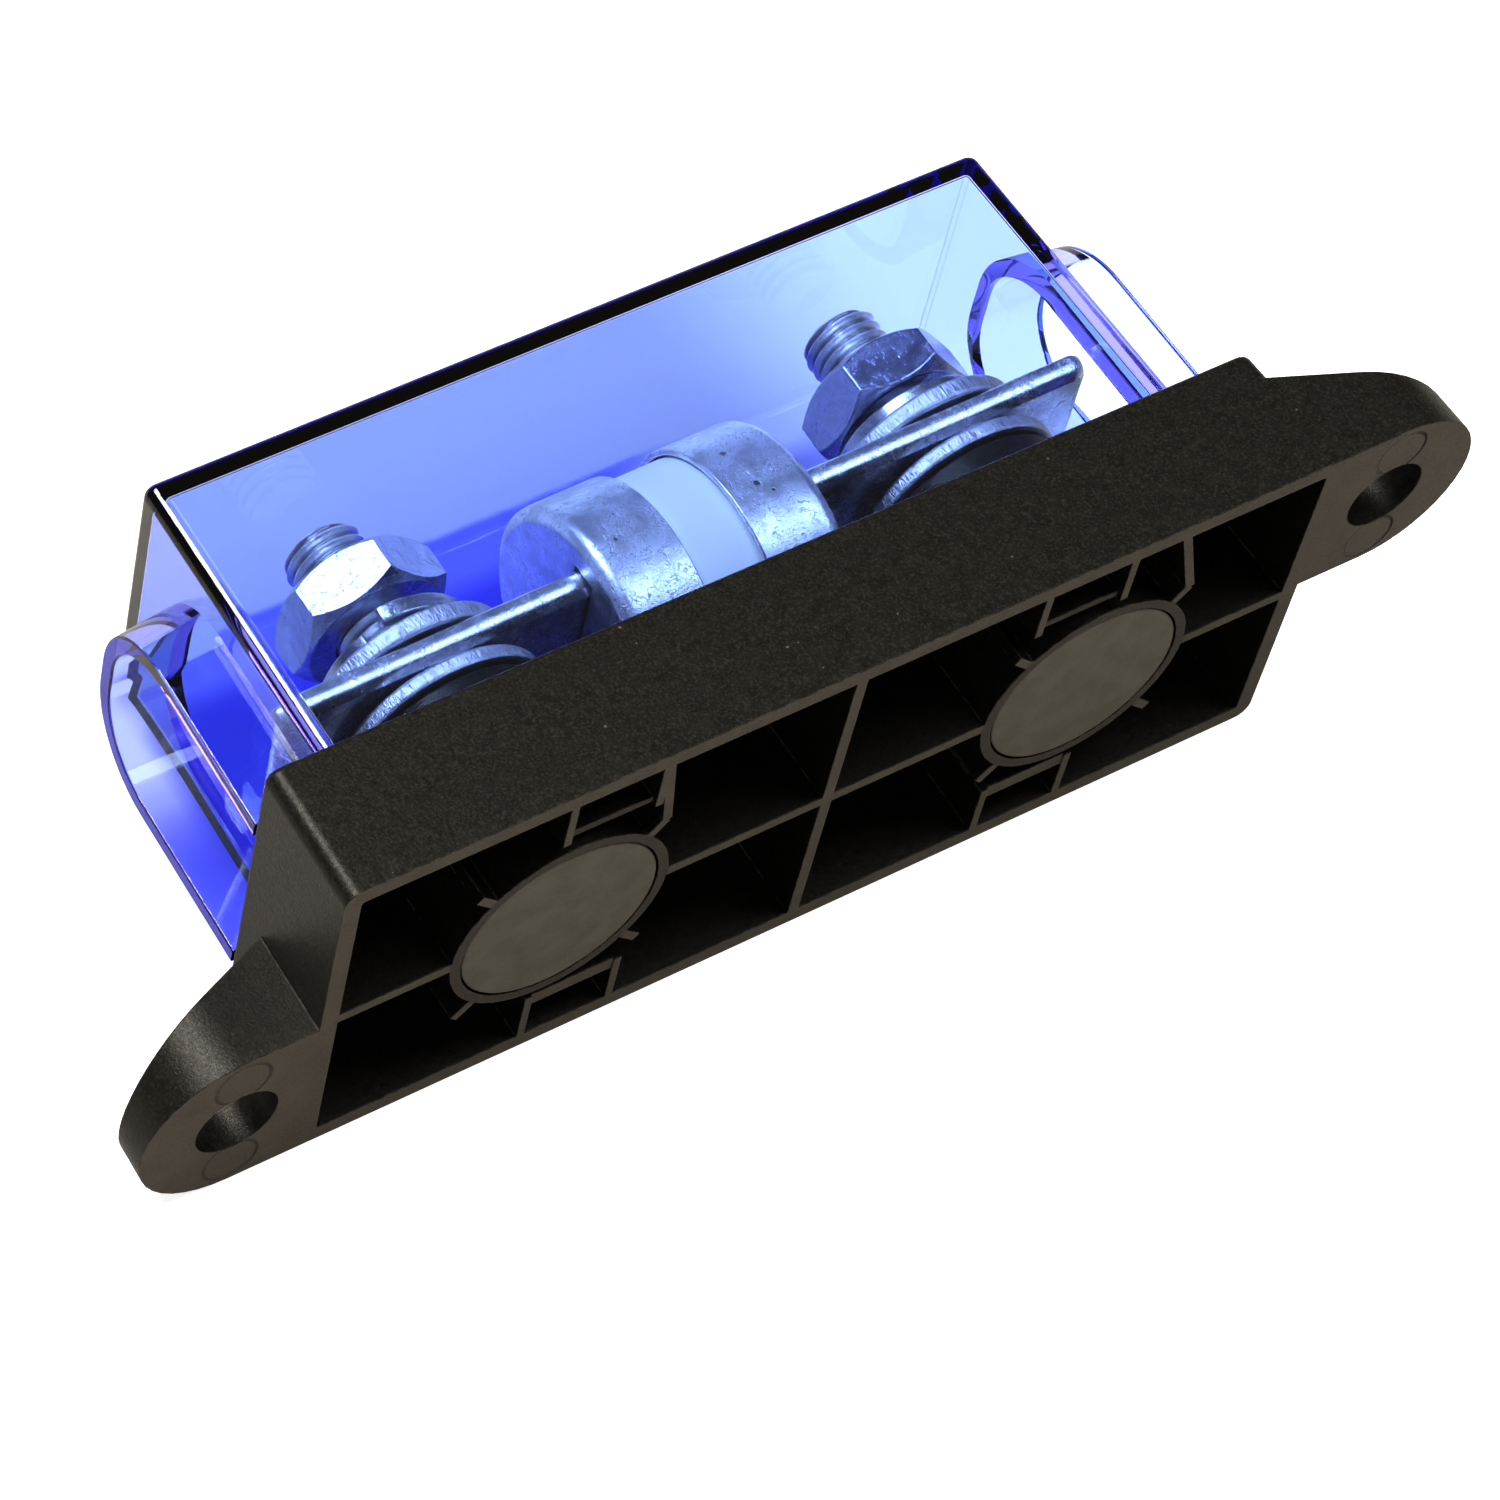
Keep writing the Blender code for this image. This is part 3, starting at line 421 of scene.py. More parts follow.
def silver_strip(looks):
    """The fuse's link, rolled along its length."""
    material, f = new_material("silver_strip")
    lines = f.noise(f.stretch(f.place(), (0.1, 1.0, 1.0)), 0.2 * MM, detail=2.0, roughness=0.5)
    colour = f.blend(lines, scaled(looks.steel_colour, 0.8), looks.steel_colour)
    f.surface(f.principled(base_color=colour, metallic=1.0, roughness=0.3 + lines * 0.1))
    return material


def clear_plastic(looks):
    """Clear dyed plastic: it bends light, darkens with depth and lets the lamps through."""
    material, f = new_material("cover_plastic")
    place = f.place()
    waves = f.noise(place, 14 * MM, detail=2.0, roughness=0.4)
    orange_peel = f.noise(place, 1.4 * MM, detail=2.0, roughness=0.5)
    normal = f.bump(waves, 0.12 * MM, 0.5)
    normal = f.bump(orange_peel, 0.004 * MM, 0.5, normal)
    glass = f.principled(
        base_color=looks.skin_colour, roughness=0.0, ior=1.49, transmission_weight=1.0, normal=normal)
    near = f.shader("ShaderNodeBsdfTransparent", looks.near_shadow)
    far = f.shader("ShaderNodeBsdfTransparent", looks.far_shadow)
    clear = f.mix(f.step(f.axes(place)[1], *looks.far_wall), near, far)
    unbent = f.ray("Is Shadow Ray").at_least(f.ray("Is Diffuse Ray"))
    depth = f.shader("ShaderNodeVolumeAbsorption", looks.cover_colour, Density=looks.cover_density)
    f.surface(f.mix(unbent, glass, clear), depth)
    return material


# Meshes


def stand_in(name, node, bm, material, body="base"):
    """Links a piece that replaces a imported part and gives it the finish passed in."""
    mesh = bpy.data.meshes.new(name)
    bmesh.ops.recalc_face_normals(bm, faces=bm.faces)
    bm.to_mesh(mesh)
    bm.free()
    if mesh.has_custom_normals:
        mesh.attributes.remove(mesh.attributes["custom_normal"])
    mesh.materials.append(material)
    made = bpy.data.objects.new(name, mesh)
    bpy.context.scene.collection.objects.link(made)
    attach(made, body)
    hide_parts(node)
    return made


def joined(node):
    """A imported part's shape with its split corners joined, so that it can be shaded as one round skin."""
    bm = bmesh.new()
    bm.from_mesh(nodes[node].data)
    bmesh.ops.remove_doubles(bm, verts=bm.verts, dist=WELD)
    bmesh.ops.dissolve_limit(bm, angle_limit=radians(0.2), verts=bm.verts, edges=bm.edges)
    return bm


def smooth(obj, angle=radians(32)):
    """Shades round skins as round and flat faces as flat."""
    obj.data.shade_smooth()
    obj.data.set_sharp_from_angle(angle=angle)
    even = obj.modifiers.new("even shading", "WEIGHTED_NORMAL")
    even.keep_sharp = True
    even.weight = 90


def soften(obj, width):
    """A small rounding on the sharp edges."""
    made = obj.modifiers.new("edge rounding", "BEVEL")
    made.width = width
    made.segments = 2
    made.limit_method = "ANGLE"
    made.angle_limit = radians(40)


def combined(bm, *others):
    """A solid with others added to it or cut from it, each given as an operation and a solid."""
    holders = []
    for shape in (bm, *[other for _, other in others]):
        mesh = bpy.data.meshes.new("shape")
        bmesh.ops.recalc_face_normals(shape, faces=shape.faces)
        shape.to_mesh(mesh)
        shape.free()
        holders.append(bpy.data.objects.new("shape", mesh))
        bpy.context.scene.collection.objects.link(holders[-1])
    for (operation, _), tool in zip(others, holders[1:]):
        step = holders[0].modifiers.new(operation, "BOOLEAN")
        step.operation = operation
        step.solver = "EXACT"
        step.object = tool
    evaluated = holders[0].evaluated_get(bpy.context.evaluated_depsgraph_get())
    result = bmesh.new()
    result.from_mesh(evaluated.to_mesh())
    evaluated.to_mesh_clear()
    for holder in holders:
        mesh = holder.data
        bpy.data.objects.remove(holder)
        bpy.data.meshes.remove(mesh)
    bmesh.ops.remove_doubles(result, verts=result.verts, dist=WELD)
    bmesh.ops.dissolve_limit(result, angle_limit=radians(0.05), verts=result.verts, edges=result.edges)
    return result


def solid(rings):
    """Joins rings of equal length into a closed skin."""
    bm = bmesh.new()
    loops = [[bm.verts.new(point) for point in ring] for ring in rings]
    count = len(loops[0])
    for lower, upper in zip(loops, loops[1:]):
        for i in range(count):
            j = (i + 1) % count
            bm.faces.new((lower[i], lower[j], upper[j], upper[i]))
    bm.faces.new(reversed(loops[0]))
    bm.faces.new(loops[-1])
    return bm


def arc(centre, radius, start, end, steps):
    turns = [start + (end - start) * i / steps for i in range(steps + 1)]
    return [(centre[0] + radius * cos(turn), centre[1] + radius * sin(turn)) for turn in turns]


def rounded_rectangle(half_length, half_width, radius, steps=10):
    points = []
    for quarter, (x, y) in enumerate(((1, 1), (-1, 1), (-1, -1), (1, -1))):
        centre = (x * (half_length - radius), y * (half_width - radius))
        points += arc(centre, radius, quarter * pi / 2, (quarter + 1) * pi / 2, steps)
    return points


def doorway(half_width, crown, radius, foot, steps=28):
    """An arch outline in Y and Z with straight legs and wide shoulders."""
    right = arc((half_width - radius, crown - radius), radius, 0, pi / 2, steps)
    left = arc((radius - half_width, crown - radius), radius, pi / 2, pi, steps)
    return [(half_width, foot)] + right + left + [(-half_width, foot)]


def quarter_round(radius, steps):
    """Inset and rise of the points of a rounded edge."""
    turns = [pi / 2 * i / steps for i in range(steps + 1)]
    return [(radius * (1 - cos(turn)), radius * sin(turn)) for turn in turns]


def limited(share):
    """A share kept between 0 and 1."""
    return min(max(share, 0.0), 1.0)


def groove_depth(phase):
    """Share of a rolled thread's depth at a phase of its pitch: flat root, straight flanks, rounded crest."""
    away = abs(phase - 0.5) * 2
    return limited((away - 0.12) / 0.72)


def threaded_stud(centre_x, low, tip, looks):
    """A stud whose shank carries a rolled helical thread above its hex head."""
    sides, steps_per_pitch = 72, 9
    chamfer, tip_length, tip_inset = 0.4 * MM, 1.1 * MM, 1.0 * MM
    pitch, depth = looks.thread_pitch, looks.thread_depth
    core = looks.stud_radius - depth
    head_top = low + looks.stud_head_height
    start = head_top + looks.stud_plain_length
    turns = [2 * pi * k / sides for k in range(sides)]

    def hexagon(turn):
        return looks.stud_head_flats / 2 / cos(turn % (pi / 3) - pi / 6)

    def ring(reach, z):
        return [(centre_x + reach(turn) * cos(turn), reach(turn) * sin(turn), z) for turn in turns]

    rings = [ring(lambda turn: hexagon(turn) - chamfer, low)]
    rings += [ring(hexagon, z) for z in (low + chamfer, head_top)]
    rings += [ring(lambda turn: core, z) for z in (head_top + 0.02 * MM, start)]
    count = int((tip - start) / pitch * steps_per_pitch)
    for i in range(count + 1):
        z = start + (tip - start) * i / count
        grown = limited((z - start) / pitch)
        inset = tip_inset * (1 - limited((tip - z) / tip_length)) ** 1.5

        def reach(turn, z=z, grown=grown, inset=inset):
            crest = 1 - groove_depth((z / pitch - turn / (2 * pi)) % 1.0)
            return min(core + depth * crest * grown, looks.stud_radius - inset)

        rings.append(ring(reach, z))
    return solid(rings)


def drafted_box(top, half_length, half_width, corner, rounding, foot, looks):
    """A box that widens downwards, with round corners and a rounded top edge."""
    shoulder = top - rounding
    levels = [(foot, 0.0)] + [(shoulder + rise, inset) for inset, rise in quarter_round(rounding, 7)]
    rings = []
    for z, inset in levels:
        spread = looks.draft * (top - z) / (top - looks.deck) - inset
        radius = max(corner - inset, 0.25 * corner)
        outline = rounded_rectangle(half_length + spread, half_width + spread, radius)
        rings.append([(x, y, z) for x, y in outline])
    return solid(rings)


def hood_arch(looks, wall, foot, reach):
    """An arch from mouth to mouth, widest at the end walls, with reach giving a mouth's place at a height.

    Without a wall it is the outside of the hoods. With one it is their hollow, that much smaller.
    """
    half_width, crown = looks.hood_half_width - wall, looks.hood_crown - wall
    radius, lip = looks.hood_corner - wall, looks.lip_rounding
    rings = []
    for inset, rise in reversed(quarter_round(lip, 4)):
        inset = -inset if wall else inset
        outline = doorway(half_width - inset, crown - inset, radius - inset, foot)
        rings.append([(-reach(z) + lip - rise, y, z) for y, z in outline])
    if wall:
        overshoot = 2 * MM
        rings.insert(0, [(x - overshoot, y, z) for x, y, z in rings[0]])
    root = doorway(half_width + looks.hood_flare, crown + looks.hood_flare / 2, radius, foot)
    rings.append([(-looks.root, y, z) for y, z in root])
    return solid(rings + [[(-x, y, z) for x, y, z in ring] for ring in reversed(rings)])


def snap_tongue(looks, side_x, side_y, foot):
    """A flat strip under the long wall, with a wedge-shaped barb on its inner face."""
    outer, inner = looks.tongue_outer, looks.tongue_outer - looks.tongue_thickness
    root, tip, barb = foot + 2 * MM, looks.tongue_tip, looks.tongue_barb
    catch = tip + 5 * MM
    profile = [(outer, tip), (outer, root), (inner, root), (inner, catch + barb), (inner - barb, catch)]
    profile.append((inner, tip))
    middle, half = side_x * looks.tongue_x, looks.tongue_width / 2
    return solid([[(x, side_y * y, z) for y, z in profile] for x in (middle - half, middle + half)])


def cover_shell(looks):
    """The clear cover: a thin box with a hood over each cable end and four snap tongues."""
    top, wall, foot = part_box("cover")[1].z, looks.wall, looks.foot
    lean = (looks.hood_reach - looks.hood_reach_crown) / (looks.hood_crown - foot)

    def reach(z):
        return looks.hood_reach - lean * (z - foot)

    shell = drafted_box(
        top, looks.half_length, looks.half_width, looks.corner, looks.top_rounding, foot, looks)
    hollow = drafted_box(
        top - wall, looks.half_length - wall, looks.half_width - wall, looks.corner - wall / 2,
        looks.top_rounding / 2, foot - wall, looks)
    tongues = [("UNION", snap_tongue(looks, x, y, foot)) for x in (-1, 1) for y in (-1, 1)]
    return combined(
        shell, ("UNION", hood_arch(looks, 0.0, foot, reach)), ("DIFFERENCE", hollow),
        ("DIFFERENCE", hood_arch(looks, looks.hood_wall, foot - wall, reach)), *tongues)


def blade_bar(looks, sign, near, far):
    """A flat stamped bar in the fuse's own frame: its edges bulge below and roll over at the top."""
    steps = 7
    half_width, rounding, bulge = looks.blade_width / 2, looks.blade_rounding, looks.blade_bulge
    half_length, middle = (far - near) / 2, sign * (far + near) / 2
    widest = looks.blade_thickness / 2 - rounding
    chamfer = 0.35 * MM
    turns = [asin((widest + looks.blade_thickness / 2) / bulge) * i / steps for i in range(steps, 0, -1)]
    below = [(bulge * (1 - cos(turn)), widest - bulge * sin(turn)) for turn in turns]
    levels = [(below[0][0] + chamfer, below[0][1])]
    levels += [(inset, z) for inset, z in below if z > below[0][1] + 0.8 * chamfer]
    levels += [(inset, widest + rise) for inset, rise in quarter_round(rounding, steps)]
    rings = []
    for inset, z in levels:
        outline = rounded_rectangle(half_length - inset, half_width - inset, looks.blade_corner - inset * 0.5)
        rings.append([(middle + x, y, looks.blade_offset + z) for x, y in outline])
    return solid(rings)


def stud_slot(looks, side):
    """The long hole that passes the stud, with its length along the blade."""
    half_length, radius, half_height = looks.slot_length / 2, looks.slot_width / 2, 4 * MM
    outline = rounded_rectangle(half_length, radius, radius - 0.01 * MM, 12)
    low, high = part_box(f"terminal_stud_{side}")
    centre = (low.x + high.x) / 2 - looks.fuse_shift
    return solid([[(centre + x, y, z) for x, y in outline] for z in (-half_height, half_height)])


def seat_fuse(bm, looks):
    """Carries a shape from the fuse's own frame to its place between the terminals."""
    tilt = Matrix.Rotation(-looks.fuse_tilt, 4, "Y")
    seat = Matrix.Translation((looks.fuse_shift, 0, looks.fuse_height)) @ tilt
    bmesh.ops.transform(bm, matrix=seat, verts=bm.verts)
    return bm


# Settings


def number(name, description, value, **more):
    return FloatProperty(name=name, description=description, default=value, **more)


def power(name, description, value):
    return number(name, description, value, min=0.0, unit="POWER")


def length(name, description, value):
    return number(name, description, value, min=0.0, unit="LENGTH", precision=5)


def fade(name, description, start, end):
    """Where something starts to show and where it shows in full."""
    return FloatVectorProperty(
        name=name, description=description, default=(start, end), size=2, unit="LENGTH", precision=5)


def colour(name, description, value):
    return FloatVectorProperty(
        name=name, description=description, default=value, min=0.0, max=1.0, size=3, subtype="COLOR")


class PlasticLooks(bpy.types.PropertyGroup):
    """Finish of the base and the plugs."""

    base_colour: colour("Base", "Colour of the moulded base", srgb(16, 15, 12))
    underside_colour: colour("Underside", "Colour of the rubbed underside", srgb(63, 57, 48))
    plug_colour: colour("Plugs", "Colour of the plugs under the studs", srgb(69, 65, 54))
    sheen_colour: colour("Sheen", "Tint of the plastic's sheen", (1.0, 0.93, 0.8))
    edge_radius: length("Edge radius", "Rounding of the base's edges", 0.3 * MM)
    base_height: length("Base height", "From the underside to the base's top", 18.55 * MM)
    inside_x: fade("Inside X", "From the middle to the tray's end wall, on its inside", 66.1 * MM, 65.8 * MM)
    inside_y: fade("Inside Y", "From the middle to the tray's long wall, on its inside", 24.5 * MM, 24.2 * MM)
    boss_x: length("Boss X", "From the middle to the round boss under a stud", 36.08 * MM)
    boss_edge: fade("Boss edge", "Radius of the boss's darker rim", 14.7 * MM, 14.3 * MM)
    ear_hole_x: length("Ear hole X", "From the middle to an ear's hole along the block", 76.3 * MM)
    ear_hole_y: length("Ear hole Y", "From the middle to an ear's hole across the block", 13.28 * MM)
    ejector_offset: length("Ejector offset", "From an ear's hole to an ejector pin's mark", 8.2 * MM)
    ejector_radius: length("Ejector radius", "Radius of an ejector pin's mark", 3.45 * MM)
    gate_x: length("Gate X", "From the middle to the round gate mark on the front wall", 0.2 * MM)
    gate_z: length("Gate Z", "Height of the gate mark", 5.8 * MM)
    gate_radius: length("Gate radius", "Radius of the gate mark", 0.95 * MM)


class MetalLooks(bpy.types.PropertyGroup):
    """Finish of the metal pieces and the tube, the studs' thread and the blades' edges."""

    steel_colour: colour("Steel", "Colour of the washers", (0.6, 0.62, 0.68))
    stud_colour: colour("Studs", "Colour of the studs", (0.92, 0.94, 0.98))
    nut_colour: colour("Nuts", "Colour of the nuts", (0.42, 0.44, 0.64))
    tin_colour: colour("Tin", "Colour of the caps and blades", (0.86, 0.89, 0.96))
    pit_colour: colour("Pits", "Colour of the pits in the caps", (0.03, 0.03, 0.035))
    tube_colour: colour("Tube", "Colour of the fuse's tube", (0.93, 1.0, 1.0))
    washer_radius: length("Washer radius", "Radius of the streaked edges of the washers", 12.5 * MM)
    stud_radius: length("Stud radius", "Outer radius of the thread", 5.0 * MM)
    stud_plain_length: length("Plain shank", "From the stud's head to its thread", 12.0 * MM)
    stud_head_height: length("Head height", "Height of the stud's head", 6.4 * MM)
    stud_head_flats: length("Head flats", "Size of the stud's head across its flats", 17.0 * MM)
    thread_pitch: length("Thread pitch", "Rise of the thread in one turn", 1.5 * MM)
    thread_depth: length("Thread depth", "Depth of the thread", 0.8 * MM)
    blade_thickness: length("Blade thickness", "Thickness of the fuse's blades", 3.1 * MM)
    blade_width: length("Blade width", "Width of the fuse's blades", 24.0 * MM)
    blade_rounding: length("Blade edge", "Rounding of the blades' upper edges", 0.8 * MM)
    blade_bulge: length("Blade bulge", "Radius of the blades' sides below that", 3.1 * MM)
    blade_corner: length("Blade corner", "Radius of the blades' corners in plan", 2.0 * MM)
    blade_offset: length("Blade offset", "Height of the blades over the fuse's axis", 0.45 * MM)
    blade_inner: length("Blade inner end", "Where a blade starts inside its cap", 10.6 * MM)
    slot_length: length("Slot length", "Length of the hole for the stud", 16.0 * MM)
    slot_width: length("Slot width", "Width of the hole for the stud", 11.0 * MM)
    fuse_shift: number(
        "Fuse shift", "How far the fuse's middle is off the block's", -0.5 * MM, unit="LENGTH", precision=5)
    fuse_height: length("Fuse height", "Height of the fuse's axis", 31.45 * MM)
    fuse_tilt: number("Fuse tilt", "Rise of the fuse to the right", radians(0.8), subtype="ANGLE")


class CoverLooks(bpy.types.PropertyGroup):
    """Shape and finish of the clear cover."""

    skin_colour: colour("Skin", "Colour of the light that passes through a wall", (0.65, 0.89, 1.0))
    cover_colour: colour("Depth", "Colour that the plastic keeps in thick places", (0.25, 0.05, 0.75))
    cover_density: number("Density", "How fast the cover's plastic darkens, per metre", 200.0, min=0.0)
    near_shadow: colour("Near shadow", "Colour of the light that falls through the cover", (0.86, 1.0, 1.0))
    far_shadow: colour("Far shadow", "Colour of the light that leaves by its back", (0.5, 0.48, 0.97))
    far_wall: fade("Back wall", "Where the back wall's shadow takes over", 13.0 * MM, 15.0 * MM)
    foot: length("Foot", "Height of the cover's lower edge", 18.85 * MM)
    deck: length("Deck", "Height of the base's top", 18.55 * MM)
    half_length: length("Half length", "From the middle to an end wall, at the top", 57.0 * MM)
    half_width: length("Half width", "From the middle to a long wall, at the top", 19.5 * MM)
    draft: length("Draft", "How much each wall leans out down to the base", 0.95 * MM)
    wall: length("Wall", "Thickness of the walls", 2.0 * MM)
    corner: length("Corner", "Radius of the upright corners", 1.7 * MM)
    top_rounding: length("Top rounding", "Rounding of the top edge", 1.3 * MM)
    hood_half_width: length("Hood half width", "From the middle to a hood's leg, at its mouth", 14.0 * MM)
    hood_crown: length("Hood crown", "Height of a hood at its mouth", 52.5 * MM)
    hood_corner: length("Hood shoulder", "Radius of a hood's shoulders", 12.1 * MM)
    hood_flare: length("Hood flare", "How much wider a hood is at the end wall", 1.2 * MM)
    hood_wall: length("Hood wall", "Thickness of the hoods", 2.3 * MM)
    hood_reach: length("Hood reach", "From the middle to a mouth, at its foot", 66.2 * MM)
    hood_reach_crown: length("Hood crown reach", "From the middle to a mouth, at its crown", 65.2 * MM)
    root: length("Hood root", "From the middle to where a hood leaves the end wall", 55.0 * MM)
    lip_rounding: length("Lip rounding", "Rounding of the hoods' mouths", 0.3 * MM)
    tongue_x: length("Tongue place", "From the middle to a snap tongue", 31.7 * MM)
    tongue_width: length("Tongue width", "Width of a snap tongue", 9.0 * MM)
    tongue_thickness: length("Tongue thickness", "Thickness of a snap tongue", 1.6 * MM)
    tongue_outer: length("Tongue outer face", "From the middle to a tongue's outer face", 20.15 * MM)
    tongue_tip: length("Tongue tip", "Height of a tongue's tip", 7.0 * MM)
    tongue_barb: length("Tongue barb", "How far a barb stands out", 0.5 * MM)


class StageLooks(bpy.types.PropertyGroup):
    """Light and floor."""

    floor_distance: length("Floor distance", "From the block's middle to the surface it lies on", 25.9 * MM)
    floor_colour: colour("Floor", "Colour of the surface behind the block", (0.8, 0.79, 0.78))
    floor_glow: number("Floor glow", "Added where the camera sees the floor", 0.73)
    mirror_colour: colour("Mirrored floor", "Colour of the floor where gloss shows it", (0.44, 0.41, 0.35))
    glass_glow: number("Glass glow", "Added where the cover shows the floor", 0.12)
    glass_glow_right: number("Glass glow right", "The same for the brighter right part of the floor", 1.85)
    glass_right: fade("Right part", "Where the floor gets brighter along X", 28.0 * MM, 66.0 * MM)
    shade_colour: colour("Shade", "Colour of the floor in the cover's dyed light", (0.22, 0.22, 0.84))
    shade_glow: number("Shade glow", "Added to that shaded floor", 0.35)
    shade_top: fade("Shade top", "Where the shade ends upwards", 67.4 * MM, 66.2 * MM)
    shade_right: fade("Shade right", "Where the shade ends to the right", 30.0 * MM, 12.0 * MM)
    shade_left: fade("Shade left", "Where the shade's full height ends to the left", -57.0 * MM, -51.0 * MM)
    shade_hood: fade("Shade at the hood", "Height of the shade left of that", 55.0 * MM, 40.0 * MM)
    key_power: power("Key", "Power of the key lamp", 12.0)
    strip_power: power("Strip", "Power of the strip lamp", 4.6)
    low_power: power("Low", "Power of the low lamp", 3.0)
    sky_colour: colour("Sky colour", "Colour of the even light from all round", (1.0, 0.93, 0.87))
    sky: number("Sky", "Strength of the even light from all round", 0.1, min=0.0)


# Pieces


class FUSEBLOCK_OT_base(bpy.types.Operator):
    """Finish the moulded base and the plugs in its underside"""

    bl_idname = "fuse_block.base"
    bl_label = "Base and Plugs"

    def execute(self, context):
        looks = context.scene.fuse_block_plastic
        finish = moulded_plastic(looks)
        smooth(stand_in("moulded_base", "base_moulding", joined("base_moulding"), finish))
        finish = plug_plastic(looks)
        for side in ("left", "right"):
            node = f"boss_plug_{side}"
            smooth(stand_in(f"round_plug_{side}", node, joined(node), finish))
        return {"FINISHED"}


class FUSEBLOCK_OT_studs(bpy.types.Operator):
    """Replace the plain studs with threaded ones"""

    bl_idname = "fuse_block.studs"
    bl_label = "Threaded Studs"

    def execute(self, context):
        looks = context.scene.fuse_block_metal
        for side in ("left", "right"):
            node = f"terminal_stud_{side}"
            low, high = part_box(node)
            centre_x = (low.x + high.x) / 2
            thread = (centre_x, looks.thread_pitch)
            finish = bright_steel(f"stud_steel_{side}", looks.stud_colour, dullness=0.3, thread=thread)
            stud = threaded_stud(centre_x, low.z, high.z, looks)
            smooth(stand_in(f"threaded_stud_{side}", node, stud, finish), radians(50))
        return {"FINISHED"}


class FUSEBLOCK_OT_hardware(bpy.types.Operator):
    """Finish the nuts, the flat and lock washers and the contact washers"""

    bl_idname = "fuse_block.hardware"
    bl_label = "Nuts and Washers"

    def execute(self, context):
        looks = context.scene.fuse_block_metal
        steel = bright_steel("washer_steel", looks.steel_colour, dullness=0.16)
        # Painted shade: the nuts' steel is darker and bluer than the washers', standing in for the shaded
        # surroundings their faces reflect.
        dark_steel = bright_steel("nut_steel", looks.nut_colour, dullness=0.14)
        for side in ("left", "right"):
            low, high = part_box(f"flat_washer_{side}")
            stamped = washer_steel(looks, f"stamped_steel_{side}", (low.x + high.x) / 2)
            rows = (("flat_washer", "stamped_washer", stamped, "stainless_steel", 0.35 * MM),
                    ("contact_washer", "raised_washer", stamped, "tin_plate", 0.35 * MM),
                    ("lock_washer", "spring_washer", steel, "stainless_steel", 0.25 * MM),
                    ("hex_nut", "chamfered_nut", dark_steel, "stainless_steel", 0.2 * MM))
            for kind, name, finish, slot, rounding in rows:
                node = f"{kind}_{side}"
                made = stand_in(f"{name}_{side}", node, joined(node), finish)
                soften(made, rounding)
                smooth(made)
        return {"FINISHED"}


class FUSEBLOCK_OT_fuse(bpy.types.Operator):
    """Finish the fuse: caps, tube, blades and link"""

    bl_idname = "fuse_block.fuse"
    bl_label = "Fuse"

    def execute(self, context):
        looks = context.scene.fuse_block_metal
        tin = tin_plate(looks, "cap_tin", dullness=0.27, relief=0.035 * MM, pits=CAP_PITS)
        bright_tin = tin_plate(looks, "blade_tin", dullness=0.2, relief=0.016 * MM)
        for side, sign in (("left", -1), ("right", 1)):
            node = f"fuse_cap_{side}"
            cap = stand_in(f"drawn_cap_{side}", node, joined(node), tin)
            soften(cap, 0.2 * MM)
            smooth(cap)
            node = f"fuse_blade_{side}"
            low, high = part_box(node)
            far = (high.x if sign > 0 else -low.x) - sign * looks.fuse_shift
            bar = blade_bar(looks, sign, looks.blade_inner, far)
            bar = combined(bar, ("DIFFERENCE", stud_slot(looks, side)))
            smooth(stand_in(f"rounded_blade_{side}", node, seat_fuse(bar, looks), bright_tin))
        smooth(stand_in("glazed_tube", "fuse_tube", joined("fuse_tube"), white_tube(looks)))
        smooth(stand_in("notched_link", "fuse_link", joined("fuse_link"), silver_strip(looks)))
        return {"FINISHED"}


class FUSEBLOCK_OT_cover(bpy.types.Operator):
    """Build and finish the clear cover"""

    bl_idname = "fuse_block.cover"
    bl_label = "Cover"

    def execute(self, context):
        looks = context.scene.fuse_block_cover
        finish = clear_plastic(looks)
        cover = stand_in("clear_cover", "cover", cover_shell(looks), finish, "cover")
        smooth(cover, radians(25))
        return {"FINISHED"}


# Stage


def floor_finish(looks):
    """White to the camera, darker in gloss, bright or shaded through the cover, and clear from behind."""
    material, f = new_material("floor")
    x, _, z = f.axes(f.place())
    matt = f.shader("ShaderNodeBsdfDiffuse", looks.floor_colour)
    dark = f.glowing(matt, WHITE, looks.glass_glow)
    bright = f.glowing(matt, WHITE, looks.glass_glow_right)
    shaded = f.shader("ShaderNodeBsdfDiffuse", looks.shade_colour)
    shaded = f.glowing(shaded, looks.shade_colour, looks.shade_glow)
    shade = f.step(z, *looks.shade_top) * f.step(x, *looks.shade_right)
    shade = shade * f.step(x, *looks.shade_left).at_least(f.step(z, *looks.shade_hood))
    through_cover = f.mix(shade, f.mix(f.step(x, *looks.glass_right), dark, bright), shaded)

    front = f.mix(f.ray("Is Glossy Ray"), matt, f.shader("ShaderNodeBsdfDiffuse", looks.mirror_colour))
    front = f.mix(f.ray("Is Transmission Ray"), front, through_cover)
    front = f.mix(f.ray("Is Camera Ray"), front, f.glowing(matt, WHITE, looks.floor_glow))
    behind = f.node("ShaderNodeNewGeometry", output="Backfacing")
    f.surface(f.mix(behind, front, f.shader("ShaderNodeBsdfTransparent")))
    return material


def lay_floor(looks):
    """The surface behind the block, on which its long wall lies."""
    reach = 1.5
    corners = ((-1, -1), (1, -1), (1, 1), (-1, 1))
    bm = bmesh.new()
    bm.faces.new([bm.verts.new((x * reach, looks.floor_distance, z * reach)) for x, z in corners])
    mesh = bpy.data.meshes.new("floor")
    bm.to_mesh(mesh)
    bm.free()
    mesh.materials.append(floor_finish(looks))
    floor = bpy.data.objects.new("floor", mesh)
    bpy.context.scene.collection.objects.link(floor)


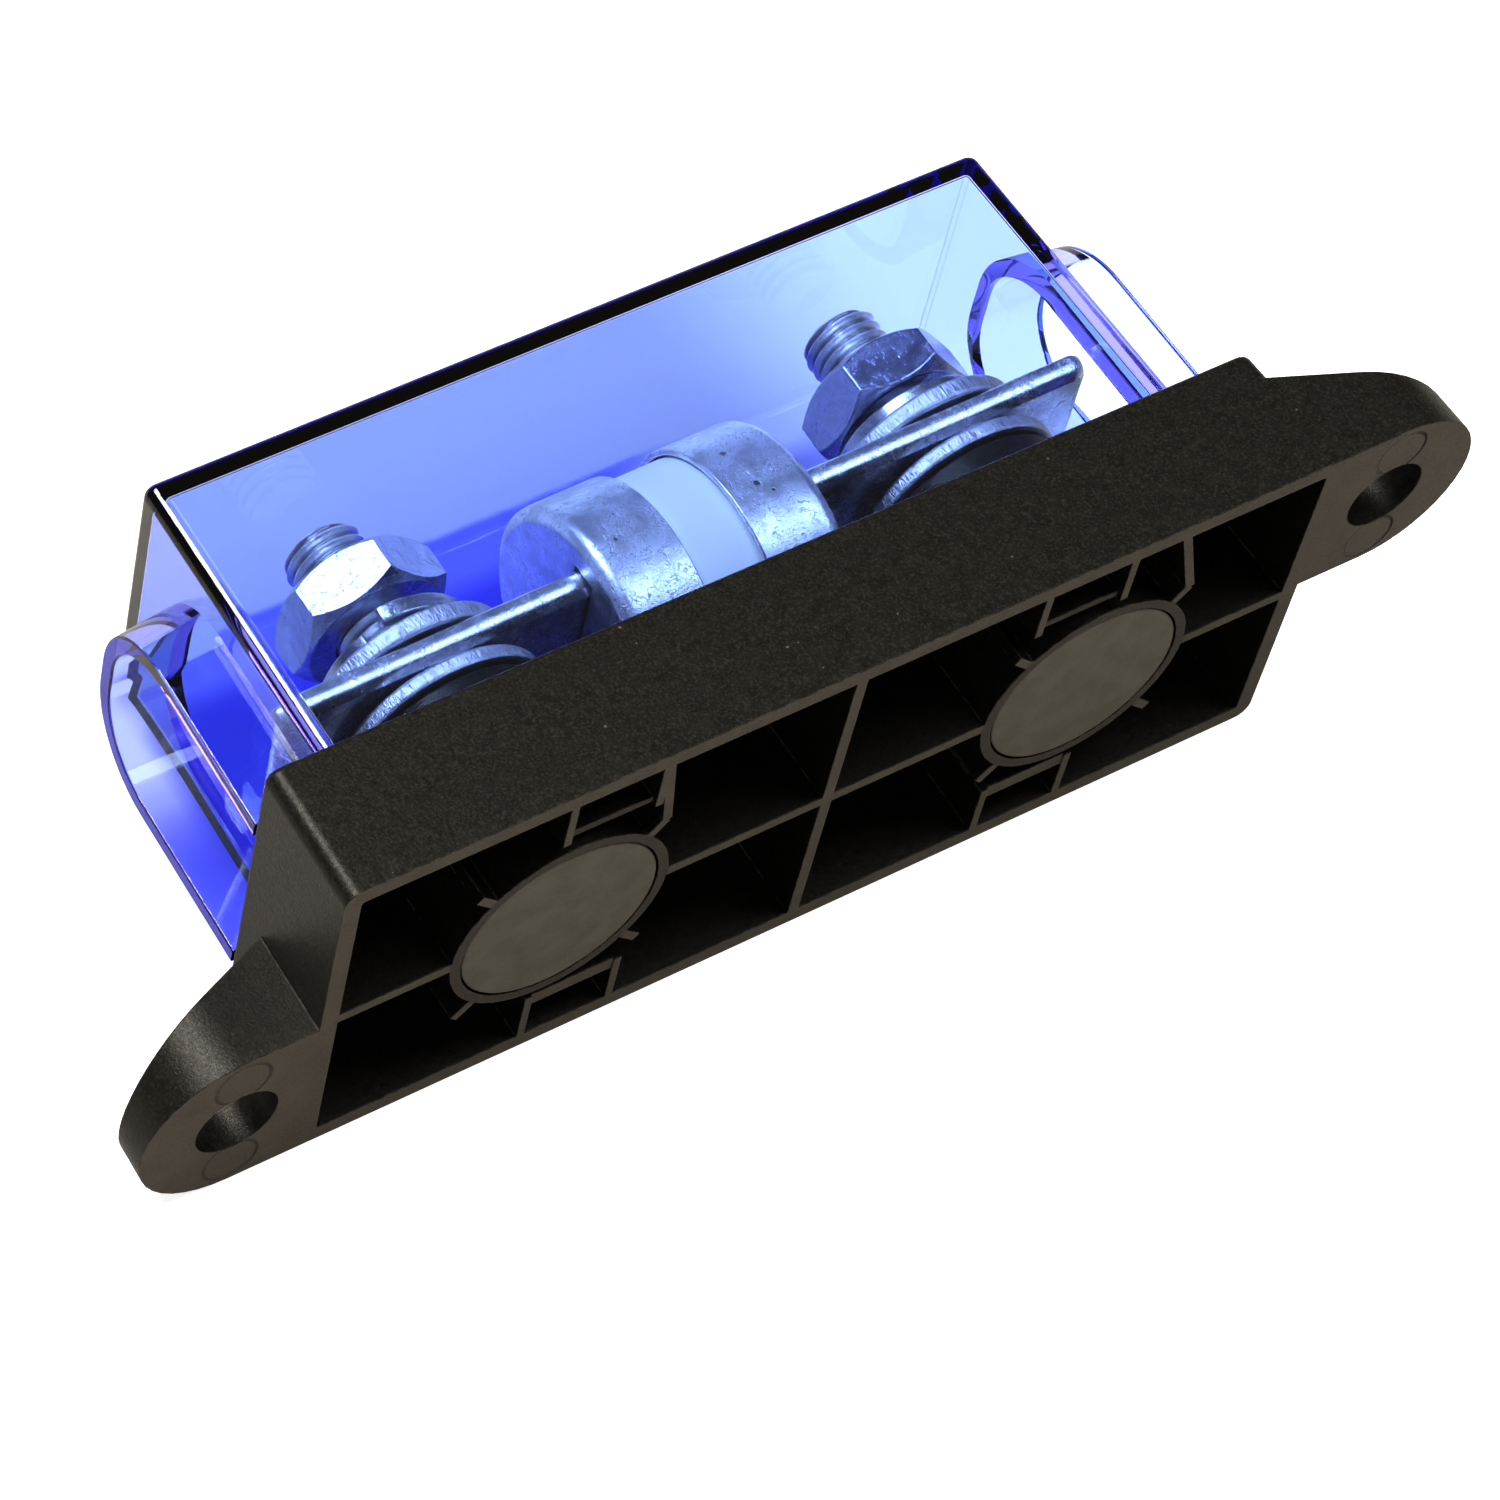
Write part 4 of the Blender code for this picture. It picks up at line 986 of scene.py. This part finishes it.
def lamp(name, place, aim, size, power):
    data = bpy.data.lights.new(name, "AREA")
    data.shape = "RECTANGLE"
    data.size, data.size_y = size
    data.energy = power
    made = bpy.data.objects.new(name, data)
    made.location = place
    made.rotation_euler = (Vector(aim) - Vector(place)).to_track_quat("-Z", "Y").to_euler()
    bpy.context.scene.collection.objects.link(made)


def world_light(looks):
    """An even dim sky, white to the camera."""
    world = bpy.data.worlds.new("studio")
    world.use_nodes = True
    f = Finish(world.node_tree)
    soft = f.shader("ShaderNodeBackground", looks.sky_colour, Strength=looks.sky)
    white = f.shader("ShaderNodeBackground", WHITE, Strength=1.0)
    seen = f.mix(f.ray("Is Camera Ray"), soft, white)
    f.node("ShaderNodeOutputWorld", inputs={"Surface": seen}, output=None)
    bpy.context.scene.world = world


def place_camera():
    """The photograph's view: the block lies on its far long wall and its underside faces the camera."""
    data = bpy.data.cameras.new("camera")
    data.lens, data.sensor_width = 150.86, 36.0
    data.shift_x, data.shift_y = 0.0358, -0.0026
    data.clip_start, data.clip_end = 0.05, 20.0
    right = Vector((0.83399, -0.15399, -0.52985))
    back = Vector((-0.41157, -0.81320, -0.41148))
    axes = Matrix((right, back.cross(right), back)).transposed()
    made = bpy.data.objects.new("camera", data)
    made.matrix_world = Matrix.Translation((-0.30470, -0.58301, -0.28205)) @ axes.to_4x4()
    bpy.context.scene.collection.objects.link(made)
    bpy.context.scene.camera = made


class FUSEBLOCK_OT_stage(bpy.types.Operator):
    """Set up the floor, the lamps, the sky and the camera"""

    bl_idname = "fuse_block.stage"
    bl_label = "Stage"

    def execute(self, context):
        looks = context.scene.fuse_block_stage
        lay_floor(looks)
        world_light(looks)
        lamp("key", place=(-0.27, -0.77, 0.43), aim=(0, 0, 0.03), size=(0.36, 0.36), power=looks.key_power)
        lamp("strip", place=(0.38, -0.80, -0.13), aim=(0, 0, 0.03), size=(0.5, 0.28), power=looks.strip_power)
        lamp("low", place=(-0.35, -0.35, -0.7), aim=(0, 0, 0), size=(0.5, 0.5), power=looks.low_power)
        place_camera()
        context.scene.view_settings.view_transform = "Standard"
        return {"FINISHED"}


class FUSEBLOCK_PT_panel(bpy.types.Panel):
    """Buttons for the pieces and the stage"""

    bl_idname = "FUSEBLOCK_PT_panel"
    bl_label = "Fuse Block"
    bl_space_type = "VIEW_3D"
    bl_region_type = "UI"
    bl_category = "Fuse Block"

    def draw(self, context):
        for made in OPERATORS:
            self.layout.operator(made.bl_idname)


OPERATORS = (
    FUSEBLOCK_OT_base, FUSEBLOCK_OT_studs, FUSEBLOCK_OT_hardware, FUSEBLOCK_OT_fuse, FUSEBLOCK_OT_cover,
    FUSEBLOCK_OT_stage)
GROUPS = {
    "fuse_block_plastic": PlasticLooks, "fuse_block_metal": MetalLooks, "fuse_block_cover": CoverLooks,
    "fuse_block_stage": StageLooks}
CLASSES = (*GROUPS.values(), *OPERATORS, FUSEBLOCK_PT_panel)


def register():
    for made in CLASSES:
        bpy.utils.register_class(made)
    for name, group in GROUPS.items():
        setattr(bpy.types.Scene, name, PointerProperty(type=group))


def unregister():
    for name in GROUPS:
        delattr(bpy.types.Scene, name)
    for made in reversed(CLASSES):
        bpy.utils.unregister_class(made)


def main():
    register()
    bpy.ops.fuse_block.base()
    bpy.ops.fuse_block.studs()
    bpy.ops.fuse_block.hardware()
    bpy.ops.fuse_block.fuse()
    bpy.ops.fuse_block.cover()
    bpy.ops.fuse_block.stage()


if __name__ == "__main__":
    main()
